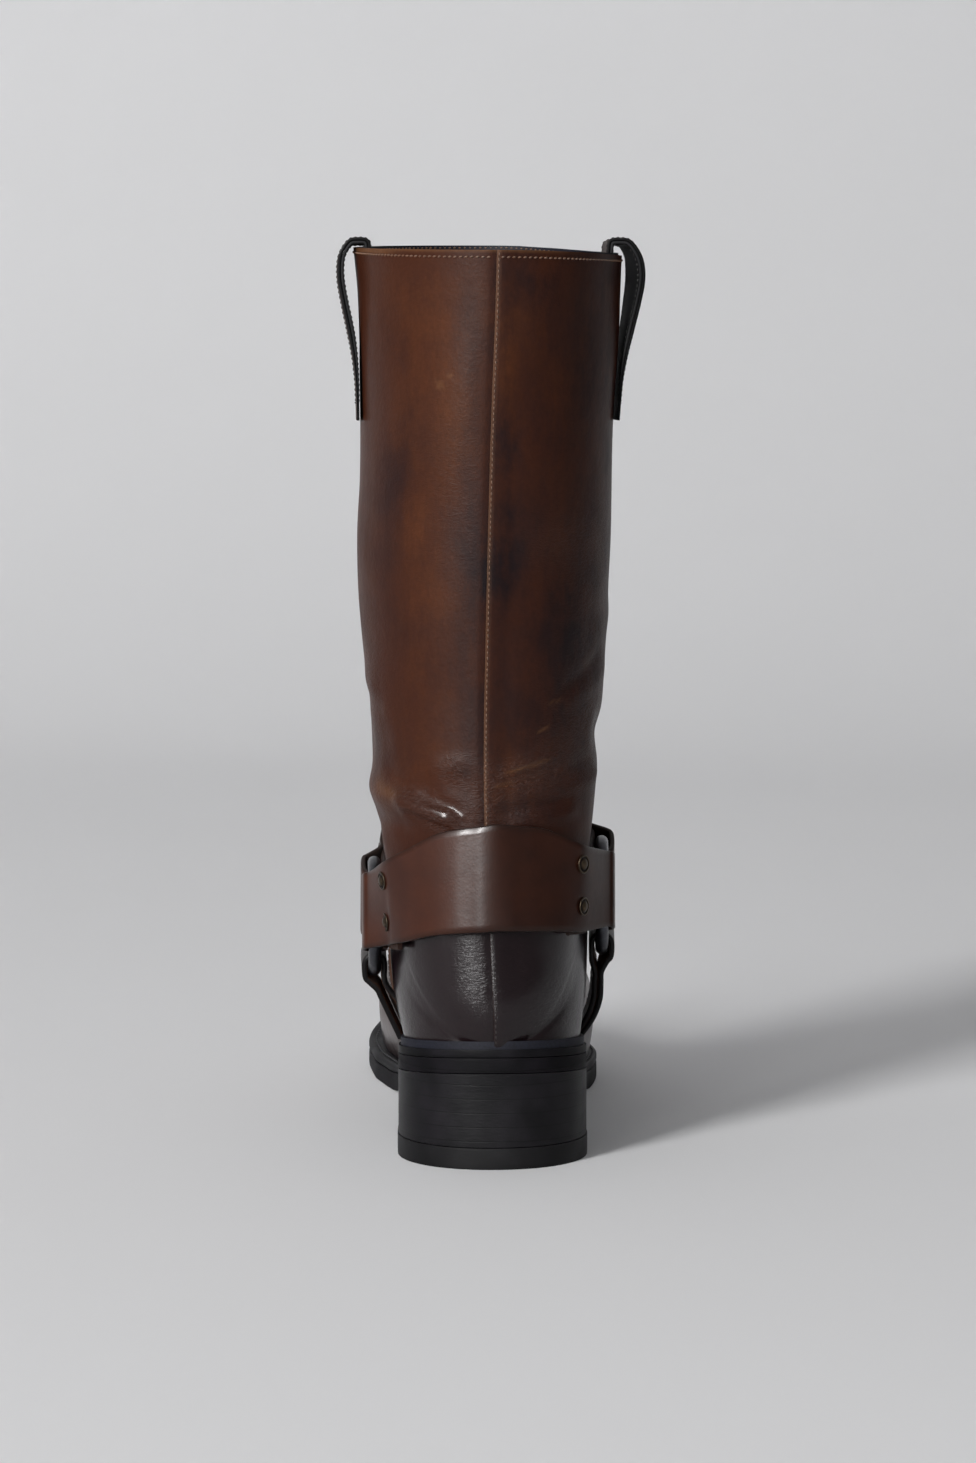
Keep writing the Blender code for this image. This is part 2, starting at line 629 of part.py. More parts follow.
def build_upper(material):
    """The upper: one wall, open at the collar and underneath."""
    rows = upper_rows()
    turns = upper_turns(UPPER_COLUMNS)
    outer = []
    inner = []
    for row, on_vamp in rows:
        places = np.full(len(turns), row)
        base = upper_base(places, turns)
        normal = upper_normal(places, turns)
        if row >= SEAM_ROW - 1e-6:
            middle = normal[0] + normal[-1]
            normal[0] = normal[-1] = middle / np.linalg.norm(middle)
        raised = seam_step(places, turns) + vamp_step(places, on_vamp)
        if row < 1e-6:
            raised = raised * 0.0
        outer.append(base + normal * raised[:, None])
        inner.append(base - normal * WALL)
    columns = len(turns)
    count = len(rows)
    points = [p for line in outer for p in line] + [p for line in inner for p in line]
    shift = count * columns
    faces = []
    for i in range(count - 1):
        for j in range(columns - 1):
            a, b, c, d = (i * columns + j, i * columns + j + 1, (i + 1) * columns + j + 1,
                          (i + 1) * columns + j)
            faces.append((a, b, c, d))
            faces.append((shift + d, shift + c, shift + b, shift + a))
        first = (i * columns, (i + 1) * columns)
        last = (i * columns + columns - 1, (i + 1) * columns + columns - 1)
        if rows[i][0] >= SEAM_ROW - 1e-6:
            faces.append((last[0], first[0], first[1], last[1]))
        else:
            faces.append((first[0], first[1], shift + first[1], shift + first[0]))
            faces.append((last[1], last[0], shift + last[0], shift + last[1]))
    seam = next(i for i in range(count) if rows[i][0] >= SEAM_ROW - 1e-6)
    faces.append((seam * columns, seam * columns + columns - 1, shift + seam * columns))
    top = (count - 1) * columns
    for j in range(columns - 1):
        faces.append((top + j, top + j + 1, shift + top + j + 1, shift + top + j))
    faces.append((top + columns - 1, top, shift + top))
    return mesh_object("upper", points, faces, material)


def inner_loop(extra):
    """Outline of the upper's inside at the feather line, moved in by extra."""
    rows = [row for row, _ in upper_rows() if row <= SEAM_ROW + 1e-6]
    rows = sorted(set(rows))
    lateral = []
    medial = []
    for row in rows:
        for turn, run in ((0.0, lateral), (1.0, medial)):
            base = upper_base(row, turn)
            normal = upper_normal(row, turn)
            point = base - normal * (WALL + extra)
            run.append((float(point[0]), float(point[1] + HEEL_CENTRE)))
    loop = list(reversed(lateral)) + medial
    clean = []
    for point in loop:
        if not clean or math.dist(point, clean[-1]) > LOOP_JOIN_DISTANCE:
            clean.append(point)
    while math.dist(clean[0], clean[-1]) < LOOP_JOIN_DISTANCE:
        clean.pop()
    return clean


def build_insole(material):
    """The insole, lying on the outsole inside the welt and the upper."""
    loop = inner_loop(INSOLE_GAP)
    return slab("insole", loop, lambda along: outsole_top(along) + GAP,
                lambda along: welt_top(along) + INSOLE_THICKNESS, material)


def build_welt(material):
    """The welt: a strip on the outsole's edge, from the sole's outline in to the upper's inside."""
    rows = sorted({row for row, _ in upper_rows() if row <= SEAM_ROW + 1e-6})
    ring = []
    for turn, order in ((0.0, list(reversed(rows))), (1.0, rows)):
        side_name = "lateral" if turn == 0.0 else "medial"
        for row in order:
            base = upper_base(row, turn)
            normal = upper_normal(row, turn)
            inner = base - normal * WALL
            along = float(base[1] + HEEL_CENTRE)
            tip = SOLE_LENGTH - WELT_WIDTH
            heel_back = WELT_WIDTH * OUTLINE[0][4]
            share = (along - heel_back) / (tip - heel_back)
            outer_along = SOLE_LENGTH * share
            outer = (float(outline_side(side_name, outer_along)), outer_along)
            ring.append((outer, (float(inner[0]), float(inner[1] + HEEL_CENTRE))))
    points = []
    for outer, inner in ring:
        corners = ((outer, welt_bottom), (outer, welt_top), (inner, welt_top), (inner, welt_bottom))
        for place, height in corners:
            points.append(world(place[0], place[1], float(height(place[1]))))
    faces = []
    count = len(ring)
    for i in range(count):
        j = (i + 1) % count
        for k in range(4):
            m = (k + 1) % 4
            faces.append((4 * j + k, 4 * j + m, 4 * i + m, 4 * i + k))
    return mesh_object("welt", points, faces, material)


def outer_tree():
    """The upper's outer surface, for seating what lies on it."""
    points = []
    faces = []
    turns = upper_turns(UPPER_COLUMNS * 2 - 1)
    columns = len(turns)
    rows = upper_rows(2)
    for row, on_vamp in rows:
        places = np.full(columns, row)
        raised = seam_step(places, turns) + vamp_step(places, on_vamp)
        points += list(upper_base(places, turns) + upper_normal(places, turns) * raised[:, None])
    for i in range(len(rows) - 1):
        for j in range(columns - 1):
            faces.append((i * columns + j, i * columns + j + 1, (i + 1) * columns + j + 1,
                          (i + 1) * columns + j))
    return BVHTree.FromPolygons([Vector(point) for point in points], faces)


def reach(tree, start, direction):
    """Distance from a point inside the boot to the tree's surface."""
    hit = tree.ray_cast(Vector(start), Vector(direction).normalized())
    return hit[3] if hit[3] is not None else 0.0


def ring_frame(tree, side):
    """Centre of a ring, standing off the upper, and its forward, upward and outward directions."""
    sign = SIDE_SIGN[side]
    turn = RING_TURN[side]
    out = reach(tree, world(0.0, RING_ALONG, RING_HEIGHT[side]), (sign, 0.0, 0.0)) + RING_STAND_OFF[side]
    centre = world(sign * out, RING_ALONG, RING_HEIGHT[side])
    forward = np.array((sign * math.sin(turn), math.cos(turn), 0.0))
    up = np.array((0.0, 0.0, 1.0))
    outward = np.array((sign * math.cos(turn), -math.sin(turn), 0.0))
    return centre, forward, up, outward


def ring_radius():
    """Radius of the middle of the ring's wire."""
    return (RING_DIAMETER - RING_WIRE) / 2.0


def ring_fold(tree, side, angle, width, thickness):
    """Stations of a strap folded round a ring, from its outer ply to its inner ply.

    The angle turns from straight ahead upwards in the ring's plane and points along the strap, away
    from the ring. Each station is the strap's middle at its two edges.
    """
    centre, forward, up, outward = ring_frame(tree, side)
    along = math.cos(angle) * forward + math.sin(angle) * up
    across = -math.sin(angle) * forward + math.cos(angle) * up
    if across[2] < -0.5 or (abs(across[2]) < 0.5 and across[1] < 0.0):
        across = -across
    radius = ring_radius()
    wire = RING_WIRE / 2.0
    start = math.sqrt(radius ** 2 - (width / 2.0) ** 2)
    start -= wire * (radius / start - 1.0) + SEAT_GAP
    bend = wire + SEAT_GAP + thickness / 2.0
    away = radius + wire + SEAT_GAP
    places = [(radius + bend * math.sin(t), bend * math.cos(t)) for t in np.radians(FOLD_LEAVES)]
    places += [(start - bend * math.sin(t), bend * math.cos(t)) for t in np.linspace(0.0, math.pi, 7)]
    places += [(away, -bend)]
    stations = []
    for reach_out, lift in places:
        middle = centre + along * reach_out + outward * lift
        stations.append((middle - across * width / 2.0, middle + across * width / 2.0))
    return stations


def curve_through(points, counts):
    """A smooth curve through control points; counts says how many steps follow each point."""
    points = np.array(points, float)
    gaps = np.maximum(np.linalg.norm(np.diff(points, axis=0), axis=1), 1e-9)
    knots = np.concatenate([[0.0], np.cumsum(np.sqrt(gaps))])
    tangents = np.zeros_like(points)
    for i in range(1, len(points) - 1):
        before = knots[i] - knots[i - 1]
        after = knots[i + 1] - knots[i]
        tangents[i] = ((points[i] - points[i - 1]) / before * after
                       + (points[i + 1] - points[i]) / after * before) / (before + after)
    tangents[0] = (points[1] - points[0]) / (knots[1] - knots[0])
    tangents[-1] = (points[-1] - points[-2]) / (knots[-1] - knots[-2])
    result = []
    for i in range(len(points) - 1):
        span = knots[i + 1] - knots[i]
        for k in range(counts[i]):
            t = k / counts[i]
            result.append((1 + 2 * t) * (1 - t) ** 2 * points[i] + t * (1 - t) ** 2 * span * tangents[i]
                          + t * t * (3 - 2 * t) * points[i + 1] + t * t * (t - 1) * span * tangents[i + 1])
    result.append(points[-1])
    return np.array(result)


def band(name, stations, counts, thickness, material):
    """A flat strip of leather through its stations; each station gives its two edges."""
    low = curve_through([station[0] for station in stations], counts)
    high = curve_through([station[1] for station in stations], counts)
    middle = (low + high) / 2.0
    run = np.gradient(middle, axis=0)
    normal = np.cross(run, high - low)
    normal /= np.linalg.norm(normal, axis=1, keepdims=True)
    half = normal * thickness / 2.0
    points = []
    for i in range(len(low)):
        points += [low[i] - half[i], high[i] - half[i], high[i] + half[i], low[i] + half[i]]
    faces = [(0, 1, 2, 3)]
    for i in range(len(low) - 1):
        for k in range(4):
            m = (k + 1) % 4
            faces.append((4 * i + m, 4 * i + k, 4 * i + 4 + k, 4 * i + 4 + m))
    end = 4 * (len(low) - 1)
    faces.append((end + 3, end + 2, end + 1, end))
    return mesh_object(name, points, faces, material)


def heel_ring_height(side):
    """Height of the heel strap's middle where it leaves the ring."""
    lean = ring_radius() * math.sin(HEEL_STRAP_RISE)
    return RING_HEIGHT[side] + lean * HEEL_STRAP_LEAVES


def heel_station(tree, side, angle, rise, widen, plies):
    """A station of the heel strap on the upper, at an angle from straight back."""
    turn = math.radians(angle)
    direction = np.array((SIDE_SIGN[side] * math.sin(turn), -math.cos(turn), 0.0))
    base = heel_ring_height(side)
    height = base + (STRAP_HEIGHT - base) * rise
    half = (STRAP_END_WIDTH + (STRAP_WIDTH - STRAP_END_WIDTH) * widen) / 2.0
    axis = world(0.0, RING_ALONG, 0.0)
    ways = [np.array((math.sin(t), -math.cos(t), 0.0)) for t in SIDE_SIGN[side] * turn + SEAT_SPREAD]
    hits = [max(reach(tree, axis + (0, 0, height + half * v), way) for way in ways) for v in SEAT_SHARES]
    hits = np.array(hits)
    low = hits[0] + SEAT_GAP + STRAP_STAND_OFF * (1.0 - plies)
    high = hits[-1] + SEAT_GAP
    line = low + (high - low) * (SEAT_SHARES + 1.0) / 2.0
    lift = max(0.0, float(np.max(hits + SEAT_GAP - line)))
    lift += STRAP_THICKNESS / 2.0 + plies * (STRAP_THICKNESS + GAP)
    up = np.array((0.0, 0.0, 1.0))
    return (axis + direction * (low + lift) + up * (height - half),
            axis + direction * (high + lift) + up * (height + half))


def fill_rows(rows):
    """The rows of a strap table read at even angles, so that the strap follows the surface closely."""
    angles = [-row[0] for row in rows]
    count = int(math.ceil((rows[0][0] - rows[-1][0]) / STRAP_STEP)) + 1
    places = np.linspace(angles[0], angles[-1], count)
    columns = [read_table(angles, column(rows, k), places) for k in range(1, len(rows[0]))]
    return [(-float(place), *(float(values[i]) for values in columns)) for i, place in enumerate(places)]


def heel_strap_side(tree, side):
    """Stations of one half of the heel strap, from its inner tail round the ring to the back."""
    rows = fill_rows(HEEL_STRAP_ROWS[side])
    tail = HEEL_TAIL_ANGLE[side]
    first = rows[0]
    second = rows[1]
    stations = [heel_station(tree, side, tail, second[1], second[2], 0.0),
                heel_station(tree, side, (tail + first[0]) / 2.0, first[1], first[2], 0.0),
                heel_station(tree, side, first[0], first[1], first[2], 0.0)]
    fold = ring_fold(tree, side, math.pi - HEEL_STRAP_RISE, STRAP_END_WIDTH, STRAP_THICKNESS)
    stations += list(reversed(fold))
    stations += [heel_station(tree, side, *row) for row in rows]
    return stations


def build_heel_strap(tree, material):
    """The heel strap: one strip round the heel, folded round both rings."""
    medial = heel_strap_side(tree, "medial")
    lateral = heel_strap_side(tree, "lateral")
    stations = medial + list(reversed(lateral))[1:]
    counts = side_counts(len(medial)) + list(reversed(side_counts(len(lateral))))
    return band("heel_strap", stations, counts, STRAP_THICKNESS, material)


def side_counts(count):
    """Steps after each station of one side: short in the fold, longer on the flat runs."""
    return list(FOLD_COUNTS) + [1] * (count - 1 - len(FOLD_COUNTS))


def instep_station(tree, side, angle, widen, plies):
    """A station of the instep strap on the upper, at an angle from straight ahead."""
    turn = math.radians(angle)
    share = smooth(angle / INSTEP_STRAP_ROWS[0][0])
    rise = INSTEP_FRONT_RISE + (INSTEP_STRAP_RISE[side] - INSTEP_FRONT_RISE) * share
    ahead = np.array((0.0, math.cos(rise), math.sin(rise)))
    across = np.array((0.0, -math.sin(rise), math.cos(rise)))
    outward = np.array((SIDE_SIGN[side], 0.0, 0.0))
    direction = math.cos(turn) * ahead + math.sin(turn) * outward
    middle_height = (RING_HEIGHT["medial"] + RING_HEIGHT["lateral"]) / 2.0
    height = middle_height + (RING_HEIGHT[side] - middle_height) * share
    half = (STRAP_END_WIDTH + (INSTEP_STRAP_WIDTH - STRAP_END_WIDTH) * widen) / 2.0
    axis = world(0.0, RING_ALONG, height)
    ways = [math.cos(t) * ahead + math.sin(t) * outward for t in turn + SEAT_SPREAD]
    hits = np.array([max(reach(tree, axis + across * half * v, way) for way in ways) for v in SEAT_SHARES])
    low = hits[0] + SEAT_GAP
    high = hits[-1] + SEAT_GAP
    line = low + (high - low) * (SEAT_SHARES + 1.0) / 2.0
    lift = max(0.0, float(np.max(hits + SEAT_GAP - line)))
    lift += STRAP_THICKNESS / 2.0 + plies * (STRAP_THICKNESS + GAP)
    return (axis - across * half + direction * (low + lift), axis + across * half + direction * (high + lift))


def instep_strap_side(tree, side):
    """Stations of one half of the instep strap, from its inner tail round the ring to the front."""
    rows = fill_rows(INSTEP_STRAP_ROWS)
    first = rows[0]
    second = rows[1]
    stations = [instep_station(tree, side, INSTEP_TAIL_ANGLE, second[1], 0.0),
                instep_station(tree, side, (INSTEP_TAIL_ANGLE + first[0]) / 2.0, first[1], 0.0),
                instep_station(tree, side, first[0], first[1], 0.0)]
    fold = ring_fold(tree, side, INSTEP_STRAP_RISE[side], STRAP_END_WIDTH, STRAP_THICKNESS)
    stations += list(reversed(fold))
    stations += [instep_station(tree, side, *row) for row in rows]
    return stations


def build_instep_strap(tree, material):
    """The instep strap: one strip over the instep, folded round both rings."""
    medial = instep_strap_side(tree, "medial")
    lateral = instep_strap_side(tree, "lateral")
    stations = medial + list(reversed(lateral))[1:]
    counts = side_counts(len(medial)) + list(reversed(side_counts(len(lateral))))
    return band("instep_strap", stations, counts, STRAP_THICKNESS, material)


def arch_station(tree, side, row, ply, fold):
    """A station of the arch strap below its ring; ply is 1 for the outer one and -1 for the inner one."""
    sign = SIDE_SIGN[side]
    drop = RING_HEIGHT[side] - float(welt_top(RING_ALONG))
    foot = RING_ALONG + drop * math.tan(ARCH_STRAP_LEAN[side])
    share = row[0]
    bow = row[1 if side == "medial" else 2]
    seat = SEAT_GAP + (ARCH_STRAP_THICKNESS + ARCH_STRAP_SPACING) / 2.0
    result = []
    for edge, way in ((0, -1.0), (1, 1.0)):
        low_along = foot + way * ARCH_STRAP_WIDTH / 2.0
        low_height = float(welt_top(low_along)) + ARCH_END_GAP
        high = (fold[0][edge] + fold[-1][edge]) / 2.0
        place = low_along + (high[1] + HEEL_CENTRE - low_along) * share
        height = low_height + (high[2] - low_height) * share
        low_out = reach(tree, world(0.0, low_along, low_height + GAP), (sign, 0.0, 0.0)) + seat
        straight = low_out + (abs(high[0]) - low_out) * share + bow
        held = reach(tree, world(0.0, place, height), (sign, 0.0, 0.0)) + seat
        result.append(world(sign * (max(straight, held) + ply * ARCH_STRAP_SPACING / 2.0), place, height))
    return tuple(result)


def build_arch_strap(tree, side, material):
    """An arch strap: doubled from the welt up round the underside of its ring."""
    angle = -math.pi / 2.0 + ARCH_STRAP_LEAN[side]
    fold = ring_fold(tree, side, angle, ARCH_STRAP_WIDTH, ARCH_STRAP_THICKNESS)
    outer = [arch_station(tree, side, row, 1.0, fold) for row in ARCH_STRAP_ROWS]
    inner = [arch_station(tree, side, row, -1.0, fold) for row in reversed(ARCH_STRAP_ROWS)]
    stations = outer + fold + inner
    return band("arch_strap_" + side, stations, ARCH_STRAP_COUNTS, ARCH_STRAP_THICKNESS, material)


def build_ring(tree, side, material):
    """A round ring of wire."""
    centre, forward, up, outward = ring_frame(tree, side)
    points = []
    faces = []
    for i in range(RING_STEPS):
        turn = 2.0 * math.pi * i / RING_STEPS
        spoke = math.cos(turn) * forward + math.sin(turn) * up
        for k in range(WIRE_STEPS):
            lean = 2.0 * math.pi * k / WIRE_STEPS
            offset = spoke * math.cos(lean) + outward * math.sin(lean)
            points.append(centre + spoke * ring_radius() + offset * RING_WIRE / 2.0)
    for i in range(RING_STEPS):
        for k in range(WIRE_STEPS):
            j = (i + 1) % RING_STEPS
            m = (k + 1) % WIRE_STEPS
            face = (i * WIRE_STEPS + k, i * WIRE_STEPS + m, j * WIRE_STEPS + m, j * WIRE_STEPS + k)
            faces.append(face if SIDE_SIGN[side] > 0 else tuple(reversed(face)))
    return mesh_object("ring_" + side, points, faces, material)


def build_rivet(name, station, neighbour, share, away_from, material):
    """A domed rivet on a strap. Share says where it stands between the station's two edges."""
    low, high = station
    place = low + (high - low) * share
    across = (high - low) / np.linalg.norm(high - low)
    other = neighbour[0] + (neighbour[1] - neighbour[0]) * share
    along = (other - place) / np.linalg.norm(other - place)
    outward = np.cross(along, across)
    outward /= np.linalg.norm(outward)
    if np.dot(outward, place - away_from) < 0.0:
        outward = -outward
    along = np.cross(across, outward)
    base = place + outward * (STRAP_THICKNESS / 2.0 + GAP)
    points = []
    for width, lift in RIVET_PROFILE:
        for i in range(RIVET_STEPS):
            turn = 2.0 * math.pi * i / RIVET_STEPS
            spoke = along * math.cos(turn) + across * math.sin(turn)
            points.append(base + spoke * width * RIVET_DIAMETER / 2.0 + outward * lift * RIVET_HEIGHT)
    faces = [tuple(reversed(range(RIVET_STEPS)))]
    for level in range(len(RIVET_PROFILE) - 1):
        for i in range(RIVET_STEPS):
            j = (i + 1) % RIVET_STEPS
            faces.append((level * RIVET_STEPS + i, level * RIVET_STEPS + j,
                          (level + 1) * RIVET_STEPS + j, (level + 1) * RIVET_STEPS + i))
    faces.append(tuple(range((len(RIVET_PROFILE) - 1) * RIVET_STEPS, len(RIVET_PROFILE) * RIVET_STEPS)))
    if np.dot(np.cross(along, across), outward) < 0.0:
        faces = [tuple(reversed(face)) for face in faces]
    return mesh_object(name, points, faces, material)


def build_rivets(tree, material):
    """Two rivets at each end of the heel strap and of the instep strap."""
    number = {"heel": 0, "instep": 0}
    for side in ("medial", "lateral"):
        rows = HEEL_STRAP_ROWS[side]
        angle = HEEL_RIVET_ANGLE[side]
        share = (rows[0][0] - angle) / (rows[0][0] - rows[1][0])
        mixed = [a + (b - a) * share for a, b in zip(rows[0], rows[1])]
        heel = heel_station(tree, side, *mixed)
        heel_next = heel_station(tree, side, mixed[0] - 1.0, *mixed[1:])
        widen = INSTEP_STRAP_ROWS[0][1]
        instep = instep_station(tree, side, INSTEP_RIVET_ANGLE, widen, 1.0)
        instep_next = instep_station(tree, side, INSTEP_RIVET_ANGLE - 1.0, widen, 1.0)
        for strap, station, neighbour in (("heel", heel, heel_next), ("instep", instep, instep_next)):
            width = float(np.linalg.norm(station[1] - station[0]))
            for sign in (-1.0, 1.0):
                number[strap] += 1
                raised = HEEL_RIVET_RAISE if strap == "heel" else 0.0
                share = 0.5 + (sign * RIVET_SPACING / 2.0 + raised) / width
                name = "rivet_" + strap + "_" + str(number[strap])
                middle = world(0.0, RING_ALONG, (station[0][2] + station[1][2]) / 2.0)
                build_rivet(name, station, neighbour, share, middle, material)


def collar_height(along):
    """Height of the collar's edge at a place along the boot."""
    share = (along - COLUMNS[-1][0]) / (COLUMNS[-1][2] - COLUMNS[-1][0])
    return float(COLUMNS[-1][1] + (COLUMNS[-1][3] - COLUMNS[-1][1]) * share)


def build_pull_loop(tree, side, material):
    """A pull loop: doubled leather from inside the shaft over the collar and down the outside."""
    sign = SIDE_SIGN[side]
    half = LOOP_WIDTH / 2.0
    rim = collar_height(LOOP_ALONG + half)
    seat = SEAT_GAP + LOOP_THICKNESS / 2.0

    def surface(height):
        """Outer surface's least and greatest reach under the loop's width."""
        held = min(height, collar_height(LOOP_ALONG - half) - GAP)
        places = [LOOP_ALONG + half * v for v in (-1.0, -0.5, 0.0, 0.5, 1.0)]
        hits = [reach(tree, world(0.0, place, held), (sign, 0.0, 0.0)) for place in places]
        return min(hits), max(hits)

    rows = []
    for share in LOOP_INNER_SHARES:
        height = rim - LOOP_INNER_DROP * share
        rows.append((surface(height)[0] - WALL - seat, height, 0.0))
    top = surface(rim)[1]
    inside = surface(rim)[0] - WALL
    slope = seat * math.sqrt(0.5)
    rows.append((inside - slope, rim + slope, 0.0))
    rows.append((top - WALL / 2.0, rim + seat, 0.0))
    rows.append((top + slope, rim + slope, 0.3))
    for share, bow in LOOP_ROWS:
        height = rim - LOOP_DROP * share
        rows.append((surface(height)[1] + seat + LOOP_BOW * bow, height, bow))
    stations = []
    for out, height, bow in rows:
        turn = LOOP_TURN[side] * bow
        width = np.array((sign * math.sin(turn), math.cos(turn), 0.0)) * half
        middle = world(sign * out, LOOP_ALONG, height)
        stations.append((middle - width, middle + width))
    counts = list(LOOP_COUNTS) + [2] * (len(stations) - 1 - len(LOOP_COUNTS))
    return band("pull_loop_" + side, stations, counts, LOOP_THICKNESS, material)


def main():
    """Build every piece of the boot."""
    clear_scene()
    sole_black = add_material("sole_black", (0.012, 0.012, 0.013), 0.45, 0.0)
    shaft_leather = add_material("shaft_leather", (0.085, 0.040, 0.020), 0.38, 0.0)
    strap_leather = add_material("strap_leather", (0.080, 0.034, 0.020), 0.35, 0.0)
    lining = add_material("lining", (0.020, 0.020, 0.024), 0.70, 0.0)
    ring_metal = add_material("ring_metal", (0.120, 0.120, 0.125), 0.30, 1.0)
    rivet_brass = add_material("rivet_brass", (0.180, 0.130, 0.070), 0.42, 1.0)
    build_top_lift(sole_black)
    build_heel_block(sole_black)
    build_outsole(sole_black)
    build_welt(sole_black)
    build_insole(lining)
    build_upper(shaft_leather)
    tree = outer_tree()
    build_heel_strap(tree, strap_leather)
    build_instep_strap(tree, strap_leather)
    for side in ("medial", "lateral"):
        build_arch_strap(tree, side, strap_leather)
        build_ring(tree, side, ring_metal)
        build_pull_loop(tree, side, strap_leather)
    build_rivets(tree, rivet_brass)


main()
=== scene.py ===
"""Harness boot for the right foot: the looks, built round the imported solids.

Metres, +Z up, toe towards +Y, medial side at -X. The origin lies on the floor under the centre of the
heel. Along the foot the sizes are measured from the back of the heel and are called along; world Y is
along minus the heel's centre.
"""

import logging
import math
from dataclasses import dataclass, replace
from enum import Enum
from functools import partial
from typing import Callable, Sequence

import bpy
import numpy as np
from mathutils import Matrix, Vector
from mathutils.bvhtree import BVHTree


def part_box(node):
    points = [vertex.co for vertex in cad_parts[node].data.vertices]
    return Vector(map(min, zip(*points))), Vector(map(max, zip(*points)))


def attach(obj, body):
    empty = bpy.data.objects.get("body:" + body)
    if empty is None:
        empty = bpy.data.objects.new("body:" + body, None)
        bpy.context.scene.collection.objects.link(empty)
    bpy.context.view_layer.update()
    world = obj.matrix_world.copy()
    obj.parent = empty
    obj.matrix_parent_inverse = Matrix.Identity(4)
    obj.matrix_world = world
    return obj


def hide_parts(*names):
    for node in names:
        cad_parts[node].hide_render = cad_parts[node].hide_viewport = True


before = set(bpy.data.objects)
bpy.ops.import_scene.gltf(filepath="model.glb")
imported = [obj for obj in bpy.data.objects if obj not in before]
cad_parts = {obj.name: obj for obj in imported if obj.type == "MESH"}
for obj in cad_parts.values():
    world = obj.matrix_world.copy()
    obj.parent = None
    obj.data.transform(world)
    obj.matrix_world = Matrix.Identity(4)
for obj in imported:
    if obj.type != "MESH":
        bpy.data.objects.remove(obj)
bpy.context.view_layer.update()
LOG = logging.getLogger("harness_boot")

Array = np.ndarray
Socket = bpy.types.NodeSocket
MM = 0.001
# Room between layers of the sole, and between a strap and what it lies on.
GAP = 0.0003
SEAT_GAP = 0.0005
UP = np.array((0.0, 0.0, 1.0))
# Ways in which the room under a strap is felt, beside its own direction.
SEAT_SPREAD = np.radians((-3.0, -1.5, 0.0, 1.5, 3.0))
# The part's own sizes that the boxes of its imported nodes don't give.
BALL_WIDTH = 0.093
HEEL_HEIGHT = 0.0356
INSTEP_HEIGHT = 0.131
SHAFT_DEPTH = 0.131


class Side(Enum):
    """The two sides of the right boot; the value is the sign of X."""

    MEDIAL = -1.0
    LATERAL = 1.0

    @property
    def word(self) -> str:
        """The side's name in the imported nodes."""
        return self.name.lower()


def smooth(share: Array | float) -> Array:
    """Ease from 0 to 1.

    Args:
        share: Place on the way; flat below 0 and above 1.

    Returns:
        The eased share.
    """
    held = np.clip(share, 0.0, 1.0)
    return held * held * (3.0 - 2.0 * held)


def slopes(xs: Array, ys: Array) -> Array:
    """Slopes of a curve through table rows that never overshoots.

    Args:
        xs: Rising places.
        ys: Values there.

    Returns:
        A slope for each row.
    """
    steps = np.diff(xs)
    rises = np.diff(ys) / steps
    result = np.zeros(len(xs))
    for i in range(1, len(xs) - 1):
        if rises[i - 1] * rises[i] > 0.0:
            before = 2.0 * steps[i] + steps[i - 1]
            after = steps[i] + 2.0 * steps[i - 1]
            result[i] = (before + after) / (before / rises[i - 1] + after / rises[i])
    result[0] = rises[0]
    result[-1] = rises[-1]
    return result


def read_table(xs: Sequence[float], ys: Sequence[float], at: Array | float) -> Array:
    """Read a table column at any place, on a smooth curve through its rows.

    Args:
        xs: Rising places of the rows.
        ys: Values of the rows.
        at: Places to read.

    Returns:
        The values there.
    """
    xs = np.asarray(xs, float)
    ys = np.asarray(ys, float)
    at = np.clip(np.asarray(at, float), xs[0], xs[-1])
    slope = slopes(xs, ys)
    left = np.clip(np.searchsorted(xs, at, side="right") - 1, 0, len(xs) - 2)
    step = xs[left + 1] - xs[left]
    t = (at - xs[left]) / step
    start = (1.0 + 2.0 * t) * (1.0 - t) ** 2 * ys[left] + t * (1.0 - t) ** 2 * step * slope[left]
    end = t * t * (3.0 - 2.0 * t) * ys[left + 1] + t * t * (t - 1.0) * step * slope[left + 1]
    return start + end


def cap(distance: Array, length: float, power: float) -> Array:
    """Share of the full width at a distance from a rounded end.

    Args:
        distance: From the end.
        length: Of the rounded stretch.
        power: 2 is an ellipse, more is squarer.

    Returns:
        The share, 0 at the end and 1 past the stretch.
    """
    share = np.clip(distance / length, 0.0, 1.0)
    return (1.0 - (1.0 - share) ** power) ** (1.0 / power)


def unit(vectors: Array) -> Array:
    """Vectors of length 1 along the last axis."""
    return vectors / np.maximum(np.linalg.norm(vectors, axis=-1, keepdims=True), 1e-12)


def hex_colour(code: str) -> tuple[float, float, float, float]:
    """Turn an sRGB hex value to a linear colour.

    Args:
        code: Six hex digits.

    Returns:
        Linear red, green, blue and an alpha of 1.
    """
    shares = [int(code[i : i + 2], 16) / 255.0 for i in (0, 2, 4)]
    line = [v / 12.92 if v <= 0.04045 else ((v + 0.055) / 1.055) ** 2.4 for v in shares]
    return (line[0], line[1], line[2], 1.0)


